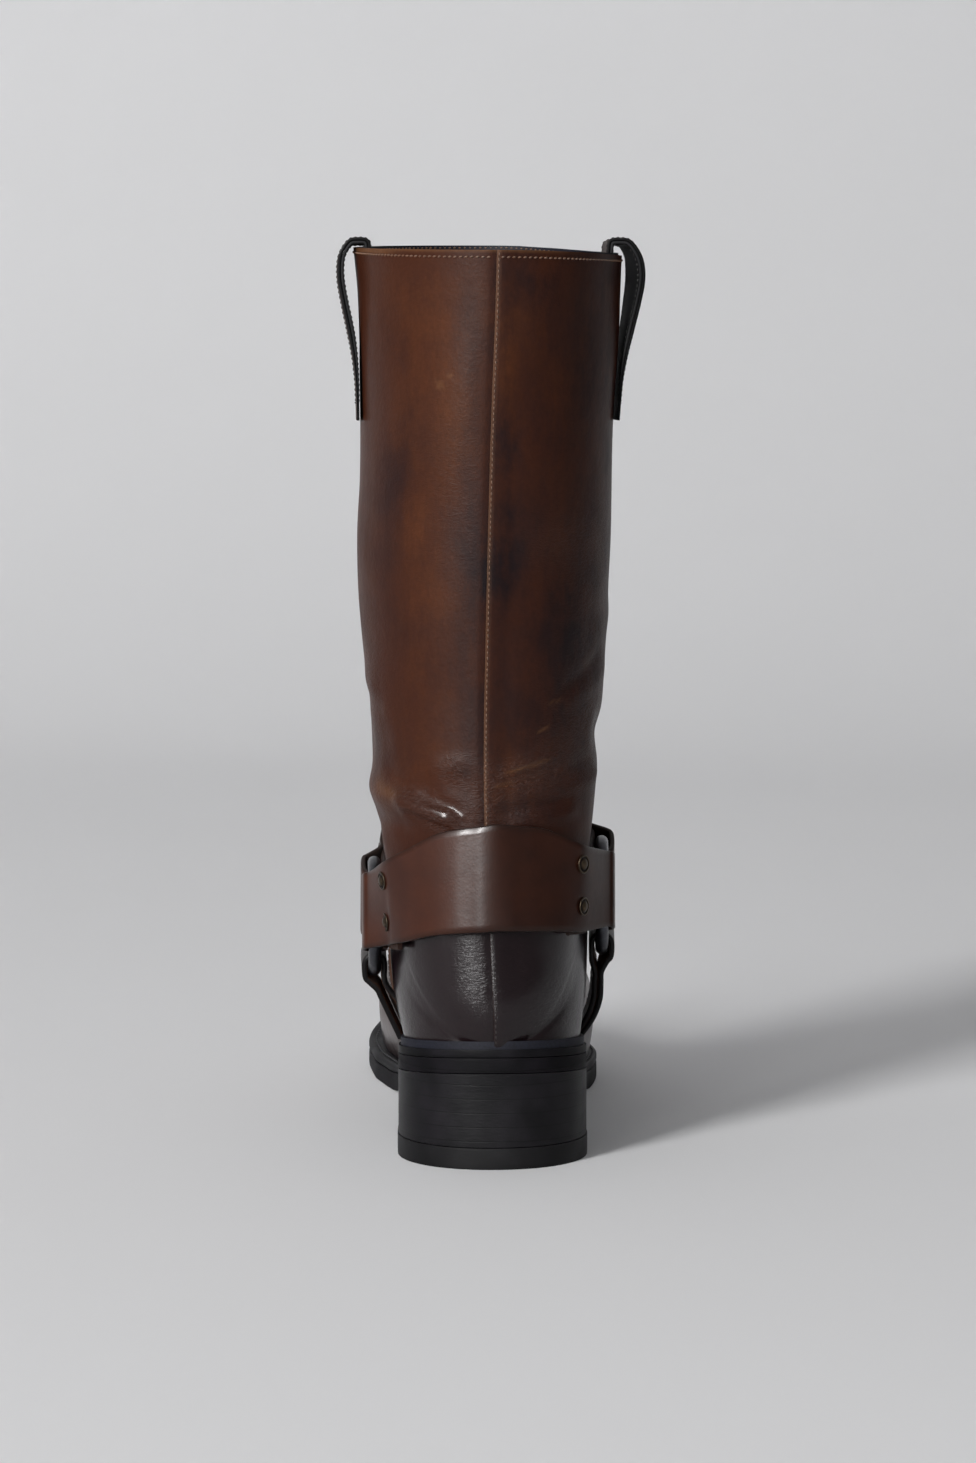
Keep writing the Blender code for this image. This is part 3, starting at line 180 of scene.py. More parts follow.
# Sole outline, a row for each station from heel to toe. Columns: share of SOLE_LENGTH, then shares of
# BALL_WIDTH for the axis of the end caps, the medial side and the lateral side, both from that axis,
# and shares of WELT_WIDTH for the welt's showing width on the medial and the lateral side.
OUTLINE = (
    # along  axis    medial  lateral welt_medial welt_lateral
    (0.000, 0.000, 0.3817, 0.3817, 0.42, 0.42),
    (0.110, 0.000, 0.3817, 0.3817, 0.47, 0.47),
    (0.220, 0.000, 0.3640, 0.3790, 0.72, 0.72),
    (0.310, 0.000, 0.3330, 0.3780, 0.82, 0.80),
    (0.400, 0.000, 0.3130, 0.3930, 0.70, 0.62),
    (0.480, 0.000, 0.3200, 0.4330, 0.74, 0.52),
    (0.550,  0.002, 0.3580, 0.4800, 0.85, 0.50),
    (0.620,  0.002, 0.4090, 0.5270, 0.93, 0.50),
    (0.680, -0.001, 0.4430, 0.5510, 0.96, 0.52),
    (0.760, -0.011, 0.4500, 0.5380, 0.98, 0.64),
    (0.880, -0.026, 0.4200, 0.4820, 1.00, 0.90),
    (1.000, -0.036, 0.3850, 0.4250, 1.00, 1.00),
)

# Sole profile. Columns: share of SOLE_LENGTH, bottom height as a share of HEEL_HEIGHT behind the ball
# and of TOE_SPRING before it, and shares of OUTSOLE_THICKNESS and WELT_THICKNESS.
PROFILE = (
    # along  behind  before  outsole welt
    (0.000, 1.000, 0.00, 0.76, 0.81),
    (0.217, 0.803, 0.00, 0.76, 0.81),
    (0.300, 0.640, 0.00, 0.78, 0.82),
    (0.400, 0.360, 0.00, 0.82, 0.88),
    (0.500, 0.120, 0.00, 0.92, 0.95),
    (0.590, 0.000, 0.00, 1.00, 1.00),
    (0.760, 0.000, 0.00, 1.00, 1.00),
    (0.860, 0.000, 0.22, 1.00, 1.00),
    (0.940, 0.000, 0.60, 1.00, 1.00),
    (1.000, 0.000, 1.00, 1.00, 1.00),
)

# Foot sections, toe to heel. Each cuts the upper in a plane across the foot, from the feather line up
# to the ridge. Columns: where it meets the feather line and the ridge as shares of SOLE_LENGTH, ridge
# height as a share of INSTEP_HEIGHT above the floor, share of the section's length where it is widest,
# half-widths there as shares of BALL_WIDTH, ridge and seam side shift as shares of BALL_WIDTH, and the
# fullness of the upper corners.
FOOT_SECTIONS = (
    # feather ridge  height widest medial lateral ridge_x seam_x fullness
    (1.0000, 0.9790, 0.156, 0.46, 0.352, 0.388, -0.045, 0.0, 2.20),
    (0.9950, 0.9745, 0.236, 0.45, 0.353, 0.389, -0.045, 0.0, 2.20),
    (0.9800, 0.9610, 0.305, 0.43, 0.356, 0.392, -0.045, 0.0, 2.25),
    (0.9550, 0.9360, 0.360, 0.41, 0.363, 0.399, -0.046, 0.0, 2.30),
    (0.9180, 0.9010, 0.402, 0.39, 0.374, 0.414, -0.048, 0.0, 2.32),
    (0.8700, 0.8560, 0.429, 0.37, 0.386, 0.440, -0.052, 0.0, 2.30),
    (0.8140, 0.8040, 0.448, 0.35, 0.399, 0.474, -0.060, 0.0, 2.25),
    (0.7500, 0.7450, 0.474, 0.33, 0.410, 0.508, -0.068, 0.0, 2.15),
    (0.6850, 0.6850, 0.517, 0.31, 0.414, 0.532, -0.070, 0.0, 2.05),
    (0.6200, 0.6250, 0.594, 0.29, 0.402, 0.522, -0.064, 0.0, 2.00),
    (0.5530, 0.5660, 0.698, 0.28, 0.386, 0.486, -0.054, 0.0, 1.98),
    (0.4860, 0.5180, 0.808, 0.29, 0.378, 0.448, -0.042, 0.0, 1.98),
    (0.4200, 0.4820, 0.908, 0.31, 0.382, 0.426, -0.032, 0.0, 2.00),
    (0.3500, 0.4570, 1.000, 0.33, 0.390, 0.418, -0.026, 0.0, 2.05),
    (0.2800, 0.4430, 1.080, 0.36, 0.398, 0.416, -0.022, 0.0, 2.08),
    (0.2100, 0.4370, 1.155, 0.38, 0.400, 0.397, -0.020, 0.0, 2.10),
    (0.1470, 0.4345, 1.225, 0.40, 0.400, 0.388, -0.018, 0.0, 2.10),
    (0.0910, 0.4335, 1.290, 0.41, 0.400, 0.383, -0.016, 0.0, 2.10),
    (0.0455, 0.4335, 1.350, 0.42, 0.401, 0.380, -0.016, 0.0, 2.10),
    (0.0180, 0.4340, 1.405, 0.43, 0.405, 0.380, -0.016, -0.004, 2.10),
    (0.0000, 0.4345, 1.460, 0.44, 0.413, 0.384, -0.016, -0.009, 2.10),
)

# Shaft sections, heel to collar. Columns: height of the back line as a share of the way from the
# feather line to the collar, back line as a share of SHAFT_DEPTH, ridge height as a share of
# COLLAR_HEIGHT, ridge as a share of SHAFT_DEPTH, share where it is widest, half-widths as shares of
# SHAFT_WIDTH, ridge and seam side shift as shares of SHAFT_WIDTH, and the fullness.
SHAFT_SECTIONS = (
    # back  set    front  depth  widest medial lateral ridge_x seam_x fullness
    (0.045, 0.003, 0.587, 0.949, 0.45, 0.391, 0.360, -0.015, -0.012, 2.10),
    (0.099, 0.008, 0.616, 0.953, 0.45, 0.417, 0.380, -0.015, -0.019, 2.10),
    (0.160, 0.020, 0.648, 0.956, 0.46, 0.430, 0.394, -0.015, -0.025, 2.10),
    (0.221, 0.035, 0.680, 0.960, 0.46, 0.439, 0.406, -0.015, -0.033, 2.08),
    (0.281, 0.049, 0.713, 0.964, 0.47, 0.457, 0.421, -0.014, -0.042, 2.06),
    (0.342, 0.057, 0.745, 0.969, 0.47, 0.474, 0.435, -0.013, -0.044, 2.04),
    (0.410, 0.056, 0.780, 0.973, 0.48, 0.482, 0.445, -0.012, -0.043, 2.02),
    (0.491, 0.049, 0.818, 0.977, 0.48, 0.484, 0.451, -0.011, -0.039, 2.00),
    (0.585, 0.038, 0.862, 0.982, 0.49, 0.478, 0.456, -0.010, -0.034, 2.00),
    (0.693, 0.027, 0.909, 0.988, 0.49, 0.478, 0.466, -0.008, -0.027, 2.00),
    (0.808, 0.015, 0.950, 0.993, 0.50, 0.479, 0.479, -0.006, -0.018, 2.00),
    (0.909, 0.007, 0.985, 0.997, 0.50, 0.488, 0.486, -0.005, -0.007, 2.00),
    (1.000, 0.000, 1.015, 1.000, 0.50, 0.505, 0.496, -0.004, 0.000, 2.00),
)


@dataclass(frozen=True)
class SoleForm:
    """Outline and profile of the sole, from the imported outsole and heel."""

    length: float
    ball_width: float
    heel_width: float
    heel_height: float
    heel_centre: float
    heel_length: float = 0.062
    heel_round: float = 0.035
    toe_round: float = 0.062
    heel_fullness: float = 2.15
    toe_fullness: float = 2.35
    seat_drop: float = 0.0070
    toe_spring: float = 0.0090
    thickness: float = 0.0072
    welt_thickness: float = 0.0036
    welt_width: float = 0.0060
    waist_share: float = 0.20

    def outline_value(self, index: int, along: Array | float) -> Array:
        """A column of the outline table at a place along the sole."""
        return read_table([row[0] for row in OUTLINE], [row[index] for row in OUTLINE], along / self.length)

    def profile_value(self, index: int, along: Array | float) -> Array:
        """A column of the profile table at a place along the sole."""
        return read_table([row[0] for row in PROFILE], [row[index] for row in PROFILE], along / self.length)

    def width_at(self, index: int, along: Array | float) -> Array:
        """Half-width before the round ends, from the heel's width to the ball's."""
        at_heel = 1.0 - smooth((along / self.length - self.waist_share) / self.waist_share)
        heel_base = self.heel_width / (2.0 * OUTLINE[0][2])
        base = self.ball_width + (heel_base - self.ball_width) * at_heel
        return self.outline_value(index, along) * base

    def side(self, side: Side, along: Array | float, inset: float = 0.0) -> Array:
        """Side edge of the sole.

        Args:
            side: Which edge.
            along: Place along the sole.
            inset: How far in, as a share of the welt's width.

        Returns:
            World X of the edge.
        """
        along = np.asarray(along, float)
        index = 2 if side is Side.MEDIAL else 3
        width = self.width_at(index, along) - inset * self.welt_width * self.outline_value(index + 2, along)
        back = inset * self.welt_width * self.outline_value(4, 0.0)
        heel = cap(along - back, self.heel_round, self.heel_fullness)
        toe = cap(self.length - inset * self.welt_width - along, self.toe_round, self.toe_fullness)
        return self.ball_width * self.outline_value(1, along) + side.value * width * heel * toe

    def bottom(self, along: Array | float) -> Array:
        """Height of the outsole's underside."""
        seat_share = 1.0 - self.seat_drop / self.heel_height
        behind = self.profile_value(1, along)
        seat_end = PROFILE[1][1]
        high = 1.0 - (1.0 - behind) * (1.0 - seat_share) / (1.0 - seat_end)
        behind = np.where(behind > seat_end, high, behind * seat_share / seat_end)
        return self.heel_height * behind + self.toe_spring * self.profile_value(2, along)

    def top(self, along: Array | float) -> Array:
        """Height of the outsole's upper face."""
        return self.bottom(along) + self.thickness * self.profile_value(3, along)

    def welt_bottom(self, along: Array | float) -> Array:
        """Height of the welt's underside."""
        return self.top(along) + GAP

    def welt_top(self, along: Array | float) -> Array:
        """Height of the welt's upper face."""
        return self.welt_bottom(along) + self.welt_thickness * self.profile_value(4, along)

    def feather(self, along: Array | float) -> Array:
        """Height of the line where the upper meets the welt."""
        return self.welt_top(along) + GAP

    def world(self, side: Array | float, along: Array | float, height: Array | float) -> Array:
        """A point in the boot's frame."""
        return np.stack(np.broadcast_arrays(side, np.asarray(along) - self.heel_centre, height), axis=-1)


@dataclass
class UpperForm:
    """Outer surface of the upper, over rows from the toe to the collar and turns round each section."""

    sole: SoleForm
    instep_height: float
    collar_height: float
    shaft_depth: float
    shaft_width: float
    wall: float = 0.0022
    seam_lap: float = 0.0009
    seam_fade: float = 0.010
    vamp_lap: float = 0.0010
    vamp_row: float = 13.2
    vamp_fade_rows: float = 4.0
    back_rows: float = 3.0
    feather_rise: float = 0.008
    ease_rows: float = 1.8

    def __post_init__(self) -> None:
        """Join the foot's and the shaft's sections, toe to collar."""
        sole = self.sole
        self.tip = sole.length - sole.welt_width
        self.heel_back = sole.welt_width * OUTLINE[0][4]
        rows = []
        for row in FOOT_SECTIONS:
            along = self.heel_back + (self.tip - self.heel_back) * row[0]
            widths = [sole.ball_width * value for value in row[4:8]]
            rows.append([along, float(sole.feather(along)), sole.length * row[1], self.instep_height * row[2],
                         row[3], *widths, row[8]])
        rows[0][2] = self.tip
        rows[0][3] = rows[0][1]
        base = float(sole.feather(self.heel_back))
        for row in SHAFT_SECTIONS:
            widths = [self.shaft_width * value for value in row[5:9]]
            rows.append([self.shaft_depth * row[1], base + (self.collar_height - base) * row[0],
                         self.shaft_depth * row[3], self.collar_height * row[2], row[4], *widths, row[9]])
        self.columns = np.array(rows)
        self.seam_row = len(FOOT_SECTIONS) - 1
        self.last_row = len(rows) - 1

    def value(self, index: int, row: Array) -> Array:
        """A column of the joined section table at any row place."""
        return read_table(np.arange(len(self.columns)), self.columns[:, index], row)

    def base(self, row: Array | float, turn: Array | float) -> Array:
        """The smooth outer form; round the heel, nearby sections are averaged.

        Args:
            row: Place from the toe, 0, to the collar.
            turn: Place round the section, 0 to 1 from the lateral feather over the ridge.

        Returns:
            World points.
        """
        row, turn = np.broadcast_arrays(np.asarray(row, float), np.asarray(turn, float))
        point = self.section(row, turn)
        lift = smooth(8.0 * np.minimum(turn, 1.0 - turn))
        width = self.ease_rows * lift * (1.0 - smooth((np.abs(row - self.seam_row) - 1.0) / 2.5))
        near = width > 1e-6
        if np.any(near):
            steps = np.linspace(-1.0, 1.0, 9)
            weights = 1.0 + np.cos(math.pi * steps * 0.999)
            spread = [weight * self.section(row[near] + width[near] * step, turn[near])
                      for weight, step in zip(weights, steps)]
            point[near] = sum(spread) / np.sum(weights)
        return point

    def section(self, row: Array, turn: Array) -> Array:
        """Points of the sections at row places, before they are eased."""
        sole = self.sole
        row = np.clip(row, 0.0, float(self.last_row))
        foot_along = self.value(0, row)
        foot_height = np.where(row <= self.seam_row, sole.feather(foot_along), self.value(1, row))
        ridge_along = self.value(2, row)
        ridge_height = self.value(3, row)
        widest = self.value(4, row)
        toe = cap(self.tip - foot_along, sole.toe_round, sole.toe_fullness)
        axis = sole.ball_width * sole.outline_value(1, foot_along)
        lateral = turn <= 0.5
        half = np.where(lateral, self.value(6, row), -self.value(5, row))
        half = axis + half * np.where(row <= self.seam_row, toe, 1.0)
        edge_lateral = sole.side(Side.LATERAL, foot_along, 1.0)
        edge_medial = sole.side(Side.MEDIAL, foot_along, 1.0)
        seam = self.value(8, row)
        edge = np.where(row < self.seam_row, np.where(lateral, edge_lateral, edge_medial), seam)
        near_back = smooth((row - (self.seam_row - self.back_rows)) / self.back_rows)
        edge = edge + np.where(row < self.seam_row, seam * near_back, 0.0)
        ridge = self.value(7, row)
        ridge = np.where(row < self.seam_row, axis + (ridge - axis) * toe, ridge)
        share = np.where(lateral, turn, 1.0 - turn) * 4.0
        low = share <= 1.0
        psi = np.where(low, (1.0 - share) * math.pi / 2.0, 0.0)
        tau = np.where(low, 0.0, np.clip(share - 1.0, 0.0, 1.0) * math.pi / 2.0)
        spread = np.clip(1.0 - (edge - seam) / np.where(np.abs(half) < 1e-9, 1e-9, half - seam), 0.0, 1.0)
        low_side = edge + (half - edge) * np.cos(psi)
        low_reach = widest * (1.0 - ((1.0 - spread) * psi / (math.pi / 2.0) + spread * np.sin(psi)))
        full = self.value(9, row)
        high_side = ridge + (half - ridge) * np.cos(tau) ** (2.0 / full)
        high_reach = widest + (1.0 - widest) * np.sin(tau) ** (2.0 / full)
        side = np.where(low, low_side, high_side)
        reach = np.where(low, low_reach, high_reach)
        along = foot_along + (ridge_along - foot_along) * reach
        height = foot_height + (ridge_height - foot_height) * reach
        return sole.world(side, along, height)

    def normal(self, row: Array | float, turn: Array | float) -> Array:
        """Outward direction of the smooth form.

        Args:
            row: Place from the toe to the collar.
            turn: Place round the section.

        Returns:
            Unit vectors; level near the feather line, and even across the back seam.
        """
        step = 1e-3
        row, turn = np.broadcast_arrays(np.asarray(row, float), np.asarray(turn, float))
        shaft = row > self.seam_row
        ahead = turn + step
        behind = turn - step
        ahead = np.where(shaft, ahead % 1.0, np.clip(ahead, 0.0, 1.0))
        behind = np.where(shaft, behind % 1.0, np.clip(behind, 0.0, 1.0))
        held = np.clip(turn, 0.0, 1.0)
        up = self.base(np.clip(row + step, 0, self.last_row), held)
        down = self.base(np.clip(row - step, 0, self.last_row), held)
        normal = unit(np.cross(self.base(row, ahead) - self.base(row, behind), up - down))
        point = self.base(row, held)
        lift = point[..., 2] - self.sole.feather(point[..., 1] + self.sole.heel_centre)
        flat = np.clip(lift / self.feather_rise, 0.0, 1.0)
        normal[..., 2] *= np.where(row < self.seam_row + 0.5, flat, 1.0)
        normal[row < 0.05] = (0.0, 1.0, 0.0)
        return unit(normal)

    def vamp_step(self, row: Array) -> Array:
        """Height of the vamp's lap over the quarters, fading towards the toe."""
        return self.vamp_lap * (1.0 - smooth((self.vamp_row - row) / self.vamp_fade_rows))


def ring_quads(rows: int, columns: int, closed_rows: bool, closed_columns: bool, first: int = 0) -> list:
    """Quads over a grid of points stored row by row.

    Args:
        rows: Number of rows.
        columns: Points in each row.
        closed_rows: Join the last row to the first.
        closed_columns: Join each row's last point to its first.
        first: Index of the first point.

    Returns:
        Four corners for each face.
    """
    faces = []
    for i in range(rows if closed_rows else rows - 1):
        j = (i + 1) % rows
        for k in range(columns if closed_columns else columns - 1):
            m = (k + 1) % columns
            faces.append((first + i * columns + k, first + i * columns + m, first + j * columns + m,
                          first + j * columns + k))
    return faces


@dataclass
class Mesh:
    """Points and faces of a piece while it is being made."""

    points: Array
    faces: list
    slots: list
    fields: dict

    @classmethod
    def joined(cls, parts: Sequence["Mesh"]) -> "Mesh":
        """Several meshes as one, with the fields that they share."""
        points = np.concatenate([part.points for part in parts])
        faces: list = []
        slots: list = []
        start = 0
        for part in parts:
            faces += [tuple(start + corner for corner in face) for face in part.faces]
            slots += part.slots
            start += len(part.points)
        names = set.intersection(*[set(part.fields) for part in parts])
        fields = {name: np.concatenate([part.fields[name] for part in parts]) for name in names}
        return cls(points, faces, slots, fields)

    def volume(self) -> float:
        """Volume inside the faces, negative where they point inwards."""
        total = 0.0
        groups: dict = {}
        for face in self.faces:
            groups.setdefault(len(face), []).append(face)
        for size, group in groups.items():
            corners = self.points[np.array(group)]
            for i in range(1, size - 1):
                total += float(np.sum(corners[:, 0] * np.cross(corners[:, i], corners[:, i + 1])))
        return total / 6.0


def shell(outer: Array, inner: Array, step: int, edge_slot: int, inner_slot: int) -> Mesh:
    """A closed leather sheet: a fine outer face, a coarser inner face and its cut edges.

    Args:
        outer: Grid of points, rows by columns.
        inner: Grid with one point for every step points of the outer one, both ways.
        step: Outer steps for each inner step.
        edge_slot: Material slot of the cut edges.
        inner_slot: Material slot of the inner face.

    Returns:
        The mesh; its points begin with the outer grid, row by row.
    """
    rows, columns = outer.shape[:2]
    low_rows, low_columns = inner.shape[:2]
    shift = rows * columns
    faces = ring_quads(rows, columns, False, False)
    slots = [0] * len(faces)
    back = [face[::-1] for face in ring_quads(low_rows, low_columns, False, False, shift)]
    faces += back
    slots += [inner_slot] * len(back)
    for j in range(low_columns - 1):
        for i, low, flip in ((0, 0, True), (rows - 1, low_rows - 1, False)):
            run = [i * columns + j * step + k for k in range(step + 1)]
            face = run + [shift + low * low_columns + j + 1, shift + low * low_columns + j]
            faces.append(tuple(face[::-1] if flip else face))
            slots.append(edge_slot)
    for i in range(low_rows - 1):
        for j, low, flip in ((0, 0, False), (columns - 1, low_columns - 1, True)):
            run = [(i * step + k) * columns + j for k in range(step + 1)]
            face = run + [shift + (i + 1) * low_columns + low, shift + i * low_columns + low]
            faces.append(tuple(face[::-1] if flip else face))
            slots.append(edge_slot)
    points = np.concatenate([outer.reshape(-1, 3), inner.reshape(-1, 3)])
    return Mesh(points, faces, slots, {})


def even_runs(ends: Sequence[float], counts: Sequence[int]) -> Array:
    """Even places from the first end to the last, with a number of steps in each run."""
    runs = [np.linspace(ends[i], ends[i + 1], count + 1)[:-1] for i, count in enumerate(counts)]
    return np.concatenate(runs + [[ends[-1]]])


def linked(name: str, data: bpy.types.ID) -> bpy.types.Object:
    """Put an object with its data in the scene."""
    thing = bpy.data.objects.new(name, data)
    bpy.context.scene.collection.objects.link(thing)
    return thing


def make_piece(name: str, mesh: Mesh, materials: Sequence[bpy.types.Material],
               nodes: Sequence[str] = (), crease: float = 40.0) -> bpy.types.Object:
    """Put a finished piece in the scene, riding on the boot.

    Args:
        name: Name of the piece.
        mesh: Its points and faces; a closed mesh that points inwards is turned.
        materials: One for each slot number that the faces name.
        nodes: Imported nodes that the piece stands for.
        crease: Angle in degrees above which an edge is sharp.

    Returns:
        The object.
    """
    faces = mesh.faces if mesh.volume() >= 0.0 else [face[::-1] for face in mesh.faces]
    data = bpy.data.meshes.new(name)
    data.from_pydata(mesh.points.tolist(), [], faces)
    for material in materials:
        data.materials.append(material)
    data.polygons.foreach_set("material_index", mesh.slots)
    for field_name, values in mesh.fields.items():
        layer = data.attributes.new(field_name, "FLOAT", "POINT")
        layer.data.foreach_set("value", np.asarray(values, np.float32))
    data.validate()
    data.shade_smooth()
    data.set_sharp_from_angle(angle=math.radians(crease))
    piece = linked(name, data)
    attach(piece, "root")
    if nodes:
        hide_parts(*nodes)
    LOG.info("%s: %d triangles", name, sum(len(face) - 2 for face in faces))
    return piece


class Surface:
    """The node tree of one material. Sizes are in millimetres; colours are hex values or sockets."""

    def __init__(self, name: str) -> None:
        """Start from an empty Principled material."""
        self.material = bpy.data.materials.new(name)
        self.material.use_nodes = True
        self.tree = self.material.node_tree
        self.shader = self.tree.nodes["Principled BSDF"]
        self.place = self.add("TexCoord", {}, "Object")

    def feed(self, node: bpy.types.Node, inputs: dict) -> None:
        """Set a node's inputs to values, or link them to sockets, by name or number."""
        for key, value in inputs.items():
            if isinstance(value, bpy.types.NodeSocket):
                self.tree.links.new(value, node.inputs[key])
            else:
                node.inputs[key].default_value = value

    def add(self, kind: str, inputs: dict, out: int | str = 0, **settings: object) -> bpy.types.NodeSocket:
        """Add a node with its settings and links.

        Args:
            kind: Blender's name of the node, without ShaderNode.
            inputs: Value or linked socket for each input, by name or number.
            out: Output to return.
            **settings: Properties of the node.

        Returns:
            The output socket.
        """
        node = self.tree.nodes.new("ShaderNode" + kind)
        for key, value in settings.items():
            setattr(node, key, value)
        self.feed(node, inputs)
        return node.outputs[out]

    def field(self, name: str) -> Socket:
        """A field of the mesh."""
        return self.add("Attribute", {}, "Fac", attribute_name=name)

    def stretched(self, *scale: float) -> Socket:
        """The boot's frame, scaled along X, Y and Z."""
        return self.add("Mapping", {"Vector": self.place, "Scale": scale})

    def noise(self, size: float, detail: float, roughness: float = 0.5, distortion: float = 0.0,
              at: Socket | None = None) -> Socket:
        """Noise with features of a size, in the boot's frame or a stretched one."""
        return self.add("TexNoise", {"Vector": self.place if at is None else at, "Scale": 1.0 / (size * MM),
                                     "Detail": detail, "Roughness": roughness, "Distortion": distortion})

    def grain(self, size: float) -> Socket:
        """Rounded cells of a size, as of full-grain leather."""
        return self.add("TexVoronoi", {"Vector": self.place, "Scale": 1.0 / (size * MM)}, "Distance",
                        feature="SMOOTH_F1")

    def math(self, operation: str, *values: Socket | float, clamp: bool = False) -> Socket:
        """One operation on values or sockets."""
        return self.add("Math", dict(enumerate(values)), operation=operation, use_clamp=clamp)

    def mapped(self, value: Socket, start: float, end: float, low: float = 0.0, high: float = 1.0,
               eased: bool = False) -> Socket:
        """A value from start to end, read as low to high."""
        return self.add("MapRange", {"Value": value, "From Min": start, "From Max": end, "To Min": low,
                                     "To Max": high}, interpolation_type="SMOOTHSTEP" if eased else "LINEAR")

    def between(self, share: Socket, low: Socket | float, high: float) -> Socket:
        """A number a share of the way between two."""
        return self.add("Mix", {0: share, 2: low, 3: high})

    def mix(self, share: Socket, low: Socket | str, high: str) -> Socket:
        """A colour a share of the way between two."""
        first = hex_colour(low) if isinstance(low, str) else low
        return self.add("Mix", {0: share, 6: first, 7: hex_colour(high)}, 2, data_type="RGBA")

    def shaded(self, colour: Socket | str, shade: Socket) -> Socket:
        """A colour times a shade."""
        first = hex_colour(colour) if isinstance(colour, str) else colour
        return self.add("Mix", {0: 1.0, 6: first, 7: shade}, 2, data_type="RGBA", blend_type="MULTIPLY")

    def bump(self, height: Socket, strength: float, depth: float, under: Socket | None = None) -> Socket:
        """A normal bent by a height, over another bump."""
        inputs = {"Strength": strength, "Distance": depth * MM, "Height": height}
        return self.add("Bump", inputs if under is None else inputs | {"Normal": under})

    def dress(self, colour: Socket, roughness: Socket | float, normal: Socket,
              **others: Socket | float) -> bpy.types.Material:
        """Feed the shader; the other inputs are named with _ for each space."""
        self.feed(self.shader, {"Base Color": colour, "Roughness": roughness, "Normal": normal})
        self.feed(self.shader, {key.replace("_", " "): value for key, value in others.items()})
        return self.material


@dataclass(frozen=True)
class BurnishedCowhide:
    """Waxed full-grain cowhide, dyed brown and burnished by hand.

    The dye gathers in cloudy darker patches, the polish brings up tan ones, and the fine grain breaks
    the gloss into a soft sheen. Around the foot it is dyed nearly black and polished to a shine.
    """

    name: str = "burnished_cowhide"
    body: str = "381B0F"
    dark: str = "180E11"
    tan: str = "5A3219"
    foot: str = "160B0E"
    bared: str = "7A5535"
    cloud_mm: float = 34.0
    streak_mm: float = 7.0
    speck_mm: float = 1.6
    grain_mm: float = 1.1
    wrinkle_mm: float = 4.5
    crinkle_mm: float = 3.0

    def build(self) -> bpy.types.Material:
        """Make the material; it reads the mesh's fields tan, dark, polish, worn and crinkle."""
        s = Surface(self.name)
        tan, dark, polish, worn, crinkle = map(s.field, ("tan", "dark", "polish", "worn", "crinkle"))
        cloud = s.noise(self.cloud_mm, 5.0, 0.62)
        patchy = s.math("ADD", s.noise(self.streak_mm, 6.0, 0.7, at=s.stretched(1.0, 1.0, 0.28)), cloud)
        uneven = s.mapped(patchy, 0.62, 1.36, eased=True)
        dark_base = s.mapped(cloud, 0.42, 0.72, 0.0, 0.18, True)
        dark_all = s.math("ADD", s.math("MULTIPLY_ADD", dark, uneven, -0.06), dark_base, clamp=True)
        tan_all = s.math("MULTIPLY", tan, s.math("SUBTRACT", 1.15, uneven), clamp=True)
        colour = s.mix(tan_all, self.body, self.tan)
        for share, dye in ((dark_all, self.dark), (polish, self.foot), (worn, self.bared)):
            colour = s.mix(share, colour, dye)
        colour = s.shaded(colour, s.mapped(s.noise(self.speck_mm, 3.0), 0.3, 0.7, 0.90, 1.08))
        fine = s.bump(s.grain(self.grain_mm), 0.16, 0.25)
        soft = s.bump(s.noise(self.wrinkle_mm, 4.0, 0.55, 0.4), 0.22, 0.6, fine)
        lines = s.noise(self.crinkle_mm, 5.0, 0.6, 1.2, s.stretched(1.0, 1.0, 2.6))
        bump = s.bump(s.math("MULTIPLY", lines, crinkle), 0.9, 1.3, soft)
        gloss = s.between(polish, s.mapped(patchy, 0.7, 1.3, 0.40, 0.52), 0.30)
        rough = s.math("MULTIPLY_ADD", worn, 0.2, gloss)
        rubbed_up = s.math("MULTIPLY_ADD", crinkle, 0.32, polish, clamp=True)
        return s.dress(colour, rough, bump, Coat_Weight=s.mapped(rubbed_up, 0.0, 1.0, 0.02, 0.55),
                       Coat_Roughness=0.17, Coat_IOR=1.45,
                       Specular_IOR_Level=s.mapped(rubbed_up, 0.0, 1.0, 0.10, 0.15))


@dataclass(frozen=True)
class BridleLeather:
    """Smooth vegetable-tanned strap leather, waxed, with burnished edges and a rough flesh side.

    The colour is darkened towards the lateral side: painted shade for the side away from the key light.
    """

    name: str = "bridle_leather"
    body: str = "422419"
    dark: str = "2A1713"
    flesh: str = "2E1C13"
    edge: str = "22140F"
    roughness: float = 0.33
    sheen: float = 0.15
    cloud_mm: float = 26.0
    ripple_mm: float = 9.0
    grain_mm: float = 0.9
    # Painted shade: along X the colour is multiplied from 1 down to shade, darkest on the lateral side.
    painted_shade_start: float = -0.022
    painted_shade_end: float = 0.008
    shade: float = 0.56

    def build(self) -> bpy.types.Material:
        """Make the material; it reads the fields rim and flesh of the mesh."""
        s = Surface(self.name)
        flesh = s.field("flesh")
        cloud = s.noise(self.cloud_mm, 5.0, 0.6)
        colour = s.mix(s.mapped(cloud, 0.35, 0.7, 0.0, 0.6, True), self.body, self.dark)
        colour = s.mix(flesh, colour, self.flesh)
        # Painted shade: darker towards +X, the lateral side away from the key light; this also darkens the
        # arch straps and the lateral pull loop.
        across = s.add("SeparateXYZ", {"Vector": s.place}, 0)
        colour = s.shaded(colour, s.mapped(across, self.painted_shade_start, self.painted_shade_end, 1.0, self.shade, True))
        colour = s.mix(s.field("rim"), colour, self.edge)
        fine = s.bump(s.grain(self.grain_mm), 0.08, 0.2)
        bump = s.bump(s.noise(self.ripple_mm, 3.0), 0.12, 0.8, fine)
        worn = s.mapped(cloud, 0.3, 0.7, self.roughness - 0.04, self.roughness + 0.06)
        return s.dress(colour, s.between(flesh, worn, 0.85), bump, Coat_Weight=0.06, Coat_Roughness=0.16,
                       Specular_IOR_Level=self.sheen)


